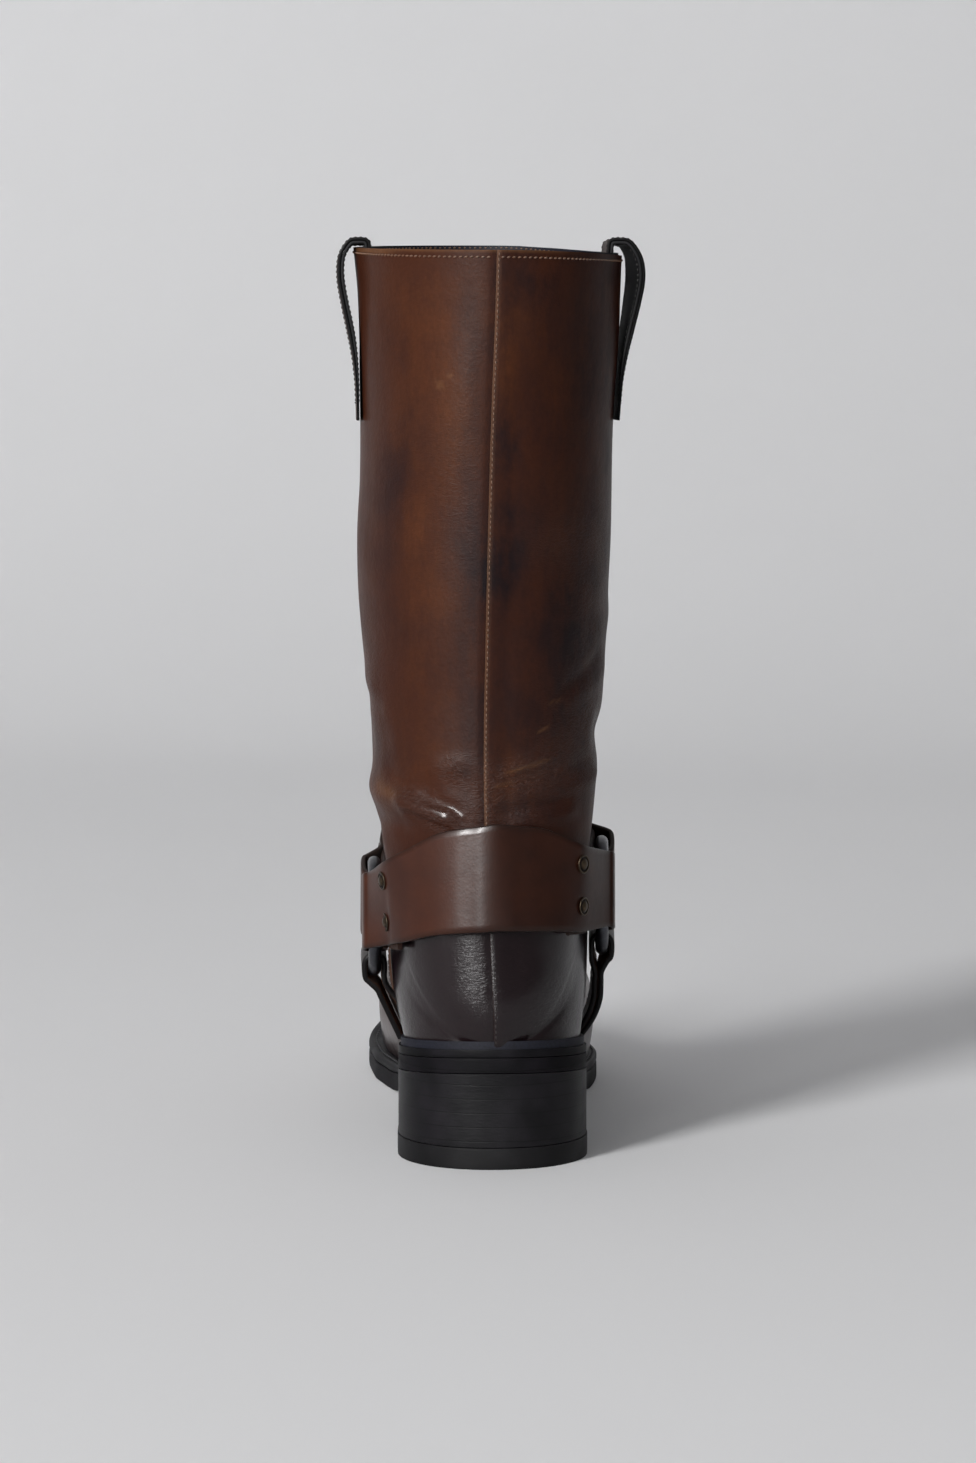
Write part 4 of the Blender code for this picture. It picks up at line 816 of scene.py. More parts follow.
@dataclass(frozen=True)
class PlainLeather:
    """Drum-dyed leather of one colour: the black lining, or a raw cut edge with its fibres."""

    name: str
    body: str
    fibre: str
    roughness: float
    fibre_mm: float
    relief: float

    def build(self) -> bpy.types.Material:
        """Make the material."""
        s = Surface(self.name)
        fibres = s.noise(self.fibre_mm, 5.0, 0.7)
        colour = s.mix(s.mapped(fibres, 0.35, 0.68), self.body, self.fibre)
        return s.dress(colour, self.roughness, s.bump(fibres, self.relief, 0.3), Specular_IOR_Level=0.15)


@dataclass(frozen=True)
class WaxedEdge:
    """Black-dyed sole leather, trimmed, inked and waxed: faint layer lines show along the edge."""

    name: str
    body: str = "0B0A0D"
    rubbed: str = "161318"
    layer_mm: float = 5.2
    line_depth: float = 0.5
    roughness: float = 0.42
    sheen: float = 0.17
    line: str = "050506"

    def build(self) -> bpy.types.Material:
        """Make the material; the layers lie level, a real lift's height apart."""
        s = Surface(self.name)
        height = s.add("SeparateXYZ", {"Vector": s.place}, 2)
        moved = s.math("MULTIPLY_ADD", s.noise(22.0, 2.0), 0.35 * MM, height)
        part = s.math("FRACT", s.math("DIVIDE", moved, self.layer_mm * MM))
        groove = s.mapped(s.math("ABSOLUTE", s.math("SUBTRACT", part, 0.5)), 0.44, 0.5, eased=True)
        scratches = s.noise(0.9, 4.0, at=s.stretched(0.25, 0.25, 1.0))
        rubs = s.noise(14.0, 5.0)
        colour = s.mix(s.mapped(rubs, 0.45, 0.75), self.body, self.rubbed)
        relief = s.math("MULTIPLY_ADD", groove, -self.line_depth, scratches)
        rough = s.mapped(rubs, 0.3, 0.7, self.roughness - 0.06, self.roughness + 0.08)
        return s.dress(s.mix(groove, colour, self.line), rough, s.bump(relief, 0.18, 0.25),
                       Specular_IOR_Level=self.sheen)


@dataclass(frozen=True)
class PlatedMetal:
    """Plated hardware: gunmetal rings, polished on the wheel, or antiqued brass rivets, dark in the low
    places and rubbed bright on the high ones."""

    name: str
    bright: str
    low: str
    roughness: float
    scratch_mm: float

    def build(self) -> bpy.types.Material:
        """Make the material; it reads the field high, which is 1 where hands and straps rub."""
        s = Surface(self.name)
        tarnish = s.math("MULTIPLY_ADD", s.noise(2.6, 5.0, 0.65), 0.9, -0.45)
        share = s.math("ADD", s.field("high"), tarnish, clamp=True)
        rough = s.mapped(share, 0.0, 1.0, self.roughness + 0.22, self.roughness)
        return s.dress(s.mix(share, self.low, self.bright), rough,
                       s.bump(s.noise(self.scratch_mm, 4.0), 0.06, 0.15), Metallic=1.0)


@dataclass(frozen=True)
class BondedThread:
    """Bonded nylon sewing thread, twisted from three plies and waxed."""

    name: str
    body: str
    worn: str

    def build(self) -> bpy.types.Material:
        """Make the material."""
        s = Surface(self.name)
        twist = s.noise(1.4, 3.0)
        return s.dress(s.mix(twist, self.body, self.worn), 0.62, s.bump(twist, 0.3, 0.1))


@dataclass(frozen=True)
class StudioPaper:
    """Seamless pale grey background paper, matt and even."""

    name: str = "studio_paper"
    body: str = "DFDFE0"
    mottle_mm: float = 1000.0 / 3.0

    def build(self) -> bpy.types.Material:
        """Make the material; a very faint mottle keeps it from looking computed."""
        s = Surface(self.name)
        shade = s.mapped(s.noise(self.mottle_mm, 3.0), 0.0, 1.0, 0.985, 1.015)
        s.feed(s.shader, {"Base Color": s.shaded(self.body, shade), "Roughness": 0.92,
                          "Specular IOR Level": 0.2})
        return s.material


# Share of a crease's length over which it fades at each end.
FOLD_TAPER = 0.35
# Millimetres round the shaft for each degree.
ROUND_MM = 0.85
# Degrees by which a fold or a patch is repeated, so that it runs on across the front.
FULL_TURNS = (-360.0, 0.0, 360.0)


def fold_height(fold: Sequence[float], across: Array, up: Array, stretch: float) -> Array:
    """Height of a soft crease at each place.

    Args:
        fold: Row of a fold table.
        across: First coordinate of the places.
        up: Second coordinate of the places.
        stretch: Millimetres for each unit of the first coordinate.

    Returns:
        Offsets along the surface's normal, in metres.
    """
    start_across, start_up, end_across, end_up, width, height = fold
    begin = np.array((start_across * stretch, start_up))
    run = np.array((end_across * stretch, end_up)) - begin
    length = float(np.hypot(*run))
    run = run / length
    dx = across * stretch - begin[0]
    dy = up - begin[1]
    along = dx * run[0] + dy * run[1]
    off = dx * run[1] - dy * run[0]
    past = np.maximum(0.0, np.maximum(-along, along - length))
    taper = FOLD_TAPER * length
    ends = smooth(along / taper + FOLD_TAPER) * smooth((length - along) / taper + FOLD_TAPER)
    return height * MM * ends * np.exp(-((off ** 2 + past ** 2) / width ** 2))


def patch_strength(rows: Sequence[Sequence[float]], around: Array, height: Array,
                   shifts: Sequence[float]) -> Array:
    """Strengths of soft round patches added up at each place.

    Args:
        rows: Degrees, millimetres up, reach both ways and strength of each patch.
        around: Degrees round the shaft.
        height: Millimetres above the floor.
        shifts: Degrees by which each patch is repeated.

    Returns:
        The sum.
    """
    total = np.zeros(np.shape(around))
    for place, level, reach_round, reach_up, strength in rows:
        for shift in shifts:
            total += strength * np.exp(-(((around + shift - place) / reach_round) ** 2)
                                       - ((height - level) / reach_up) ** 2)
    return total


# Soft creases, listed one by one. Columns: start and end, each across and up, then width and height, which
# is negative for a trough. Across is in degrees round the shaft, 0 at the back seam and positive on the
# lateral side, and up is in millimetres above the floor.
SHAFT_FOLDS = (
    # the roll of leather above the heel strap on the medial side, and the hollows over and under it
    (-100, 138.0, -26, 131.5, 6.0, 1.9), (-50, 135.0, -14, 126.0, 3.4, 1.9),
    (-42, 130.5, -16, 124.5, 1.8, -0.9), (-34, 137.0, -10, 132.0, 2.0, -0.7),
    (-36, 134.2, -14, 129.6, 1.5, 0.5), (-82, 126.0, -40, 122.5, 4.5, -1.2),
    (-60, 144.5, -22, 138.5, 3.6, -0.8), (-110, 131.0, -84, 127.0, 9.0, 1.1),
    (-88, 153.0, -50, 156.0, 8.0, -0.9), (-88, 171.0, -56, 167.5, 4.5, -0.6),
    (-90, 178.0, -60, 175.0, 5.0, 0.5), (-30, 148.5, -8, 147.5, 3.4, 0.5),
    # lateral side: slanting folds into the ankle
    (8, 146.0, 36, 151.0, 2.4, 0.55), (10, 142.0, 38, 146.5, 3.0, -0.5), (6, 131.2, 44, 135.0, 2.4, -0.8),
    (10, 127.0, 50, 130.0, 3.0, 0.8), (34, 138.0, 74, 143.0, 4.0, 1.1), (44, 147.5, 80, 149.0, 3.2, -0.7),
    (33, 174.5, 66, 187.5, 3.0, -0.7), (36, 170.0, 78, 183.0, 4.0, 0.7), (62, 160.0, 108, 152.0, 7.0, -2.2),
    (56, 196.0, 96, 204.0, 6.0, 0.6),
    # front of the ankle, where the foot bends
    (112, 132.0, 150, 146.0, 6.0, 1.3), (120, 144.0, 168, 160.0, 5.0, -1.1),
    (-150, 146.0, -112, 134.0, 6.0, 1.2), (-168, 158.0, -120, 146.0, 5.0, -1.0),
    (124, 118.0, 180, 132.0, 5.0, 1.2), (-180, 132.0, -124, 120.0, 5.0, 1.2),
)

# Creases of the vamp; both coordinates are in millimetres, across it and along the foot.
VAMP_FOLDS = (
    (-34, 186.0, 30, 190.0, 2.6, -0.7), (-28, 191.5, 36, 196.0, 2.4, 0.6), (-30, 179.0, 34, 180.5, 3.2, 0.6),
    (-36, 173.5, 20, 172.0, 2.4, -0.5), (-8, 200.5, 38, 203.0, 2.2, -0.45),
)

# Rubbed strokes on the shaft: the same columns as its folds, and how far the dye is gone.
SHAFT_SCRATCHES = (
    (-26.5, 291.6, -21.5, 290.6, 0.5, 0.50), (-25.0, 289.3, -19.8, 289.0, 0.4, 0.40),
    (-23.5, 292.6, -17.5, 292.9, 0.4, 0.30), (28.0, 170.8, 36.0, 172.0, 0.5, 0.22),
    (23.5, 160.3, 30.0, 162.2, 0.5, 0.30), (9.0, 145.4, 31.0, 150.0, 0.6, 0.32),
    (4.0, 140.5, 13.0, 142.0, 0.6, 0.20), (-70.0, 139.0, -46.0, 135.0, 2.4, 0.20),
)

# Burnished tan patches of the hand finish. Columns: degrees round the shaft, millimetres above the
# floor, reach both ways, and strength.
TAN_PATCHES = (
    (-32, 322, 26, 16, 0.30), (-24, 300, 16, 22, 0.35), (-28, 276, 17, 16, 0.50), (-18, 262, 9, 12, 0.35),
    (-30, 236, 12, 16, 0.45), (-26, 205, 14, 26, 0.40), (-70, 320, 26, 40, 0.05), (-36, 150, 24, 12, 0.25),
    (-66, 137, 14, 7, 0.70), (-20, 168, 9, 12, 0.25), (10, 312, 8, 12, 0.25), (5, 300, 5, 22, 0.35),
    (26, 232, 16, 20, 0.10), (30, 292, 22, 26, 0.10), (12, 158, 10, 14, 0.15), (8, 137, 10, 8, 0.25),
    (20, 147, 12, 5, 0.25), (150, 300, 30, 40, 0.35), (-140, 280, 34, 46, 0.30), (180, 190, 26, 40, 0.40),
    (-180, 190, 26, 40, 0.40),
)

# Patches of darker dye, with the same columns.
DARK_PATCHES = (
    (-52, 240, 15, 30, 0.45), (-60, 196, 18, 26, 0.25), (-9, 284, 6, 26, 0.35), (-7, 226, 7, 40, 0.80),
    (-7, 160, 6, 34, 0.50), (-58, 152, 22, 9, 0.40), (-46, 258, 8, 22, 0.35), (-12, 318, 7, 12, 0.30),
    (-44, 300, 7, 20, 0.25), (-36, 180, 14, 18, 0.20), (6, 268, 8, 16, 0.75), (7, 226, 8, 18, 0.80),
    (14, 330, 14, 12, 0.35), (44, 205, 18, 34, 0.40), (58, 300, 24, 50, 0.35), (26, 132, 16, 6, 0.60),
    (36, 160, 18, 16, 0.30), (110, 250, 40, 60, 0.15), (-110, 190, 26, 40, 0.30),
)

# Where the leather is finely crinkled, with the same columns.
SHAFT_CRINKLES = (
    (-24, 129, 13, 4.5, 1.0), (-44, 136, 15, 5, 0.7), (-14, 147, 9, 4, 0.8), (-66, 133, 16, 8, 0.5),
    (22, 143, 24, 8, 0.7), (42, 150, 22, 12, 0.6), (62, 168, 30, 22, 0.6), (10, 130, 22, 7, 0.6),
    (60, 215, 30, 30, 0.35), (30, 232, 20, 10, 0.35), (-30, 250, 26, 40, 0.15), (-10, 76, 14, 10, 0.16),
    (20, 60, 40, 16, 0.25), (130, 150, 50, 24, 0.8), (-130, 150, 50, 24, 0.8), (-80, 175, 24, 26, 0.5),
)


@dataclass
class Upper:
    """The upper: vamp, quarters and shaft in one leather, lined, with a lapped back seam."""

    form: UpperForm
    leather: bpy.types.Material
    raw_edge: bpy.types.Material
    lining: bpy.types.Material
    thread: bpy.types.Material
    dark_thread: bpy.types.Material
    outer_thickness: float = 0.0013
    vamp_thickness: float = 0.00095
    shaft_steps: int = 252
    quarter_steps: int = 92
    vamp_steps: int = 160
    vamp_columns: int = 176
    back_columns: int = 84
    front_columns: int = 36
    back_share: float = 0.27
    inner_step: int = 4
    stitch_pitch: float = 0.0021
    collar_drop: float = 0.0030
    collar_dip: float = 0.0030
    waxed_below: float = 0.105
    evening: float = 0.6
    evening_steps: int = 400

    def degrees(self, turn: Array) -> Array:
        """Degrees round the shaft from the back seam, lateral positive."""
        return np.where(turn <= 0.5, turn, turn - 1.0) * 360.0

    def millimetres(self, point: Array) -> tuple[Array, Array, Array]:
        """Places across, along the foot and above the floor."""
        along = point[..., 1] + self.form.sole.heel_centre
        return point[..., 0] / MM, along / MM, point[..., 2] / MM

    def relief(self, row: Array, turn: Array, point: Array) -> Array:
        """Folds, slow unevenness and the fullness over the heel bone.

        Args:
            row: Row places.
            turn: Turn places.
            point: The smooth form's points there.

        Returns:
            Offsets along the normal, in metres.
        """
        around = self.degrees(turn)
        beside, along, height = self.millimetres(point)
        folds = sum(fold_height(fold, around + shift, height, ROUND_MM)
                    for fold in SHAFT_FOLDS for shift in FULL_TURNS)
        shaft = smooth((height - 112.0) / 14.0) * smooth((row - 15.0) / 3.0)
        vamp = sum(fold_height(fold, beside, along, 1.0) for fold in VAMP_FOLDS)
        x = np.radians(around)
        slow = 0.45 * np.sin(2.0 * x + height / 31.0) * np.sin(height / 23.0 + 1.3)
        slow += 0.30 * np.sin(5.0 * x - height / 17.0 + 0.6) * np.sin(height / 41.0)
        near_top = smooth((self.form.collar_height / MM - height) / 30.0)
        near_seam = smooth((np.abs(around) - 2.0) / 12.0)
        slow *= MM * shaft * (0.4 + 0.6 * near_top) * near_seam
        tucked = smooth((self.form.vamp_row - 0.9 - row) / 1.2)
        heel = 1.5 * np.exp(-(((height - 60.0) / 14.0) ** 2)) * smooth((90.0 - along) / 50.0)
        sides = np.exp(-(((height - 82.0) / 18.0) ** 2) - ((along - 60.0) / 32.0) ** 2)
        heel += sides * (2.2 * smooth(beside / 22.0) + 1.3 * smooth(-beside / 22.0))
        return folds * shaft + slow + heel * MM + vamp * tucked * (row < self.form.vamp_row)

    def lap(self, turn: Array, point: Array, seam: Array) -> Array:
        """Step of the back seam: the lateral panel lies over the medial one, which dips to meet it."""
        distance = np.linalg.norm(point - seam, axis=-1)
        over = self.form.seam_lap * (1.0 - smooth(distance / self.form.seam_fade))
        rounded = 0.35 * MM * np.exp(-((distance / (0.5 * MM)) ** 2))
        dip = -0.35 * MM * np.exp(-((distance / (1.6 * MM)) ** 2))
        return np.where(turn < 0.25, over - rounded, np.where(turn > 0.75, dip, 0.0))

    def place(self, row: Array | float, turn: Array | float) -> tuple[Array, Array]:
        """The finished outer surface.

        Args:
            row: Row places.
            turn: Turn places.

        Returns:
            Points and normals.
        """
        row, turn = np.broadcast_arrays(np.asarray(row, float), np.asarray(turn, float))
        point = self.form.base(row, turn)
        normal = self.form.normal(row, turn)
        seam = self.form.base(row, np.zeros(np.shape(turn)))
        step = np.where(row >= self.form.seam_row, self.lap(turn, point, seam), 0.0)
        around = self.degrees(turn)
        dip = smooth(around / 95.0) * smooth((170.0 - around) / 60.0)
        drawn = normal * (self.relief(row, turn, point) + step)[..., None]
        drawn[..., 2] -= self.collar_dip * dip * smooth((row - self.form.last_row + 3.5) / 3.5)
        return point + drawn, normal

    def finish_fields(self, row: Array, turn: Array, point: Array) -> dict:
        """Where the leather is tan, dark, polished, worn and crinkled; dark also carries painted shade beside
        the back seam and on the lateral side.

        Args:
            row: Row places.
            turn: Turn places.
            point: Finished points.

        Returns:
            The named fields, from 0 to 1.
        """
        around = self.degrees(turn)
        _, along, height = self.millimetres(point)
        medial = around < 0.0
        beside = np.abs(around) * ROUND_MM
        shaft = smooth((height - 112.0) / 10.0)
        lateral = smooth(around / 3.0) * smooth((150.0 - around) / 60.0)
        dark = patch_strength(DARK_PATCHES, around, height, FULL_TURNS)
        # Darker lateral panel: partly the panel's own darker dye, partly painted shade for the side away from
        # the key light.
        dark += 0.50 * lateral * smooth((height - 118.0) / 20.0)
        # Painted shadow: a narrow dark band on the medial panel just beside the back seam, under the lapped
        # lateral edge.
        dark += np.where(medial, 0.7 * np.exp(-(((beside - 0.6) / 1.7) ** 2)), 0.0) * shaft
        heel = smooth((112.0 - height) / 26.0) * smooth((118.0 - along) / 40.0)
        sole_line = smooth((18.0 - (height - self.form.sole.feather(along * MM) / MM)) / 16.0)
        forefoot = 0.42 * smooth((along - 80.0) / 50.0) * smooth((120.0 - height) / 30.0)
        polish = np.clip(np.maximum(heel, forefoot) + 0.4 * sole_line, 0.0, 1.0)
        dark += 0.5 * smooth((along - 235.0) / 40.0) + 0.4 * sole_line
        worn = np.where(medial, 0.0, 0.30 * np.exp(-((beside / 0.9) ** 2))) * shaft
        for stroke in SHAFT_SCRATCHES:
            worn = np.maximum(worn, fold_height(stroke, around, height, ROUND_MM) / MM * shaft)
        back, front = (self.form.columns[-1][column] for column in (1, 3))
        rim = np.where(np.abs(around) < 90.0, back, front) / MM
        worn = np.maximum(worn, 0.35 * smooth((height - rim + 0.7) / 0.6) * (row > self.form.last_row - 0.1))
        tan = patch_strength(TAN_PATCHES, around, height, FULL_TURNS)
        crinkle = patch_strength(SHAFT_CRINKLES, around, height, (0.0,))
        return {"tan": np.clip(tan, 0, 1), "dark": np.clip(dark, 0, 1.2), "polish": polish,
                "worn": np.clip(worn, 0, 1), "crinkle": np.clip(crinkle, 0, 1)}

    def evened(self, grid: Array, row: Array, turn: Array) -> Array:
        """Level the small unevenness of the heel cup, as the last levels it; its edges and seam stay.

        Args:
            grid: Points, rows by columns.
            row: Row place of each.
            turn: Turn place of each.

        Returns:
            The evened points.
        """
        along = grid[..., 1] + self.form.sole.heel_centre
        seam = np.linalg.norm(grid - self.form.base(row, np.zeros(np.shape(turn))), axis=-1)
        share = smooth((0.096 - grid[..., 2]) / 0.016) * smooth((0.085 - along) / 0.025)
        share = np.where(row >= self.form.seam_row - 0.5, share * smooth((seam / MM - 1.8) / 4.0), share)
        if float(np.max(share)) <= 0.0:
            return grid
        share = self.evening * share[1:-1, 1:-1, None]
        grid = grid.copy()
        for step in range(self.evening_steps):
            around = grid[2:, 1:-1] + grid[:-2, 1:-1] + grid[1:-1, 2:] + grid[1:-1, :-2]
            pull = share if step % 2 == 0 else -1.01 * share
            grid[1:-1, 1:-1] += pull * (around / 4.0 - grid[1:-1, 1:-1])
        return grid

    def sheet(self, name: str, rows: Array, turns: Array, thickness: float, raised: Array) -> None:
        """Make one leather sheet of the upper.

        Args:
            name: Of the piece.
            rows: Row places, a whole number of inner steps apart.
            turns: Turn places, likewise.
            thickness: Of the leather.
            raised: Extra height at each row.
        """
        grid_row, grid_turn = np.meshgrid(rows, turns, indexing="ij")
        outer, normal = self.place(grid_row, grid_turn)
        outer = self.evened(outer, grid_row, grid_turn) + normal * raised[:, None, None]
        coarse = (slice(None, None, self.inner_step), slice(None, None, self.inner_step))
        inner = outer[coarse] - normal[coarse] * thickness
        mesh = shell(outer, inner, self.inner_step, 1, 2)
        for field_name, values in self.finish_fields(grid_row, grid_turn, outer).items():
            mesh.fields[field_name] = np.concatenate([values.ravel(), values[coarse].ravel()])
        make_piece(name, mesh, [self.leather, self.raw_edge, self.lining], ("upper",))

    def build(self) -> None:
        """Make the shaft with its quarters, the vamp, the lining and every row of stitches."""
        form = self.form
        side = even_runs((0.0, self.back_share, 0.5), (self.back_columns, self.front_columns))
        turns = np.concatenate([side, 1.0 - side[::-1][1:]])
        turns[-1] = 0.9998
        rows = even_runs((form.vamp_row - 0.35, form.seam_row, form.last_row),
                         (self.quarter_steps, self.shaft_steps))
        self.sheet("shaft_and_quarters", rows, turns, self.outer_thickness, np.zeros(len(rows)))
        toe_rows = form.vamp_row * np.linspace(0.0, 1.0, self.vamp_steps + 1) ** 1.5
        toe_turns = np.linspace(0.0, 1.0, self.vamp_columns + 1)
        self.sheet("vamp", toe_rows, toe_turns, self.vamp_thickness, form.vamp_step(toe_rows))
        self.build_lining()
        self.build_stitching()

    def build_lining(self) -> None:
        """Make the black lining, a thinner sheet inside the leather, which moves in at the heel cup."""
        form = self.form
        rows = even_runs((0.4, form.seam_row, form.last_row), (80, 120))
        grid_row, grid_turn = np.meshgrid(rows, np.linspace(0.0, 1.0, 121), indexing="ij")
        point, normal = self.place(grid_row, grid_turn)
        smooth_point = form.base(grid_row, grid_turn)
        point = smooth_point + (point - smooth_point) * 0.6
        point[-1] -= UP * 0.25 * MM
        along = point[..., 1] + form.sole.heel_centre
        cup = smooth((0.110 - point[..., 2]) / 0.02) * smooth((0.100 - along) / 0.03)
        point = point - normal * (1.7 * MM * cup)[..., None]
        outer = point - normal * (self.outer_thickness + 0.06 * MM)
        inner = (point - normal * form.wall)[::4, ::4]
        make_piece("upper_lining", shell(outer, inner, 4, 0, 0), [self.lining], ("upper",))

    def build_stitching(self) -> None:
        """Sew the back seam, the collar, inside and out, and the vamp's edge."""
        form = self.form
        rows = np.linspace(form.seam_row + 0.25, form.last_row - 0.02, 900)
        path, normal = self.place(rows, 0.0026)
        waxed = int(np.argmax(path[:, 2] > self.waxed_below))
        sew("back_seam_stitches", path[waxed:], normal[waxed:], self.stitch_pitch, 0.62, 0.27, 8.0, 5,
            self.thread)
        sew("heel_seam_stitches", path[:waxed], normal[:waxed], self.stitch_pitch, 0.62, 0.27, 8.0, 5,
            self.dark_thread)
        row = form.last_row - self.collar_drop / 0.030
        path, normal = self.place(row, np.linspace(0.004, 0.994, 1600))
        sew("collar_stitches", path, normal, self.stitch_pitch, 0.72, 0.36, 14.0, 6, self.thread)
        inner = path - normal * (form.wall + 0.02 * MM)
        sew("collar_stitches_inside", inner, -normal, self.stitch_pitch, 0.6, 0.34, 10.0, 7, self.thread)
        for number, inset in ((1, 0.14), (2, 0.30)):
            row = form.vamp_row - inset
            path, normal = self.place(row, np.linspace(0.01, 0.99, 900))
            path = path + normal * form.vamp_step(row)
            sew(f"vamp_stitches_{number}", path, normal, 0.0023, 0.62, 0.30, 6.0, 8 + number,
                self.dark_thread)


def stitch_row(path: Array, normal: Array, pitch: float, share: float, radius: float, slant: float,
               seed: int) -> Mesh:
    """Stitches along a path: each is a short round bridge of thread that dips in at both ends.

    Args:
        path: Points on the surface.
        normal: Outward directions there.
        pitch: Stitch length with its hole.
        share: Share of the pitch that the thread covers.
        radius: Of the thread.
        slant: Degrees that a stitch turns from the row.
        seed: Start of the small differences between stitches.

    Returns:
        The stitches as one mesh.
    """
    chance = np.random.default_rng(seed)
    run = np.concatenate([[0.0], np.cumsum(np.linalg.norm(np.diff(path, axis=0), axis=1))])
    count = max(1, int(run[-1] / pitch))
    middles = (np.arange(count) + 0.5) * run[-1] / count

    def read(values: Array, places: Array) -> Array:
        return np.stack([np.interp(places, run, values[:, k]) for k in range(3)], axis=-1)

    spots = read(path, middles)
    ups = unit(read(normal, middles))
    along = unit(read(path, middles + pitch / 4) - read(path, middles - pitch / 4))
    across = np.cross(ups, along)
    angle = np.radians(slant + chance.normal(0.0, 3.0, count))[:, None]
    way = along * np.cos(angle) + across * np.sin(angle)
    across = np.cross(ups, way)
    long_steps, round_steps = 6, 8
    points = []
    t = np.linspace(-1.0, 1.0, long_steps)
    bridge = np.sqrt(np.clip(1.0 - np.abs(t) ** 2.6, 0.0, 1.0))
    turns = 2.0 * math.pi * np.arange(round_steps) / round_steps
    length = pitch * share / 2.0 * (1.0 + chance.normal(0.0, 0.05, count))
    sink = radius * (0.15 + 0.1 * chance.random(count))
    for i in range(count):
        for k in range(long_steps):
            width = radius * (0.25 + 0.75 * bridge[k])
            centre = spots[i] + way[i] * t[k] * length[i] + ups[i] * (bridge[k] * radius * 0.6 - sink[i])
            points.append(centre + across[i] * (np.cos(turns)[:, None] * width)
                          + ups[i] * (np.sin(turns)[:, None] * width))
    points = np.concatenate(points)
    faces: list = []
    size = long_steps * round_steps
    for i in range(count):
        faces += ring_quads(long_steps, round_steps, False, True, i * size)
        faces.append(tuple(range(i * size + round_steps - 1, i * size - 1, -1)))
        last = (i + 1) * size
        faces.append(tuple(range(last - round_steps, last)))
    return Mesh(points, faces, [0] * len(faces), {})


def sew(name: str, path: Array, normal: Array, pitch: float, share: float, radius_mm: float,
        slant: float, seed: int, thread: bpy.types.Material) -> None:
    """Make a row of stitches a piece of its own; the sizes are those of stitch_row."""
    stitches = stitch_row(path, normal, pitch, share, radius_mm * MM, slant, seed)
    make_piece(name, stitches, [thread])


def curve_through(points: Array, counts: Sequence[int]) -> Array:
    """A smooth curve through control points.

    Args:
        points: Control points.
        counts: Steps after each point.

    Returns:
        The curve's points.
    """
    points = np.array(points, float)
    gaps = np.maximum(np.linalg.norm(np.diff(points, axis=0), axis=1), 1e-9)
    knots = np.concatenate([[0.0], np.cumsum(np.sqrt(gaps))])
    tangents = np.zeros_like(points)
    for i in range(1, len(points) - 1):
        before = knots[i] - knots[i - 1]
        after = knots[i + 1] - knots[i]
        tangents[i] = ((points[i] - points[i - 1]) / before * after
                       + (points[i + 1] - points[i]) / after * before) / (before + after)
    tangents[0] = (points[1] - points[0]) / (knots[1] - knots[0])
    tangents[-1] = (points[-1] - points[-2]) / (knots[-1] - knots[-2])
    result = []
    for i in range(len(points) - 1):
        span = knots[i + 1] - knots[i]
        for k in range(counts[i]):
            t = k / counts[i]
            result.append((1 + 2 * t) * (1 - t) ** 2 * points[i] + t * (1 - t) ** 2 * span * tangents[i]
                          + t * t * (3 - 2 * t) * points[i + 1] + t * t * (t - 1) * span * tangents[i + 1])
    result.append(points[-1])
    return np.array(result)


@dataclass
class Strip:
    """A strip of leather through stations; each station is the two edges of its middle plane."""

    stations: list
    counts: list
    thickness: float
    across_steps: int = 14
    edge_round: float = 0.00055
    outside: float = 1.0
    offset: float = 0.0
    taper: float = 0.0
    skived_from: float = 0.78

    def frame(self) -> tuple[Array, Array, Array]:
        """Low edge, high edge and normal along the fine strip."""
        low, high = (curve_through(edge, self.counts) for edge in zip(*self.stations))
        run = np.gradient((low + high) / 2.0, axis=0)
        normal = unit(np.cross(run, high - low)) * self.outside
        offset = normal * (self.offset * self.thinning(len(low)))[:, None]
        return low + offset, high + offset, normal

    def thinning(self, count: int) -> Array:
        """Share of the thickness that is left along the strip, which is skived towards its far end."""
        past = (np.linspace(0.0, 1.0, count) - self.skived_from) / (1.0 - self.skived_from)
        return 1.0 - self.taper * smooth(past)

    def section(self) -> tuple[Array, Array, Array]:
        """Round-edged section: share across, share of the edge's rounding and share of the height."""
        angles = np.linspace(-math.pi / 2.0, math.pi / 2.0, 5)[1:-1]
        flat = np.linspace(-1.0, 1.0, self.across_steps)
        still = np.zeros(self.across_steps)
        bend = np.ones(len(angles))
        share = np.concatenate([flat, bend, flat[::-1], -bend])
        inset = np.concatenate([still, np.cos(angles), still, -np.cos(angles)])
        height = np.concatenate([still - 1.0, np.sin(angles), still + 1.0, -np.sin(angles)])
        return share, inset, height

    def mesh(self) -> Mesh:
        """The strip with its fields rim, 1 at the cut edges, and flesh, 1 on its inner side."""
        low, high, normal = self.frame()
        across = unit(high - low)
        half = np.linalg.norm(high - low, axis=1)[:, None] / 2.0
        thick = (self.thickness * self.thinning(len(low)))[:, None]
        share, inset, height = self.section()
        side = share * (half - self.edge_round) + inset * self.edge_round
        grid = ((low + high) / 2.0)[:, None] + across[:, None] * side[..., None]
        grid = grid + normal[:, None] * (height * thick / 2.0)[..., None]
        count, columns = grid.shape[:2]
        faces = ring_quads(count, columns, False, True)
        faces += [tuple(range(columns - 1, -1, -1)), tuple(range((count - 1) * columns, count * columns))]
        rim = np.maximum(np.clip((np.abs(share) - 0.97) / 0.03, 0.0, 1.0) * 0.6, (np.abs(inset) > 0.0) * 1.0)
        fields = {"rim": np.tile(rim, count), "flesh": np.tile(np.clip(-height, 0.0, 1.0), count)}
        return Mesh(grid.reshape(-1, 3), faces, [0] * len(faces), fields)


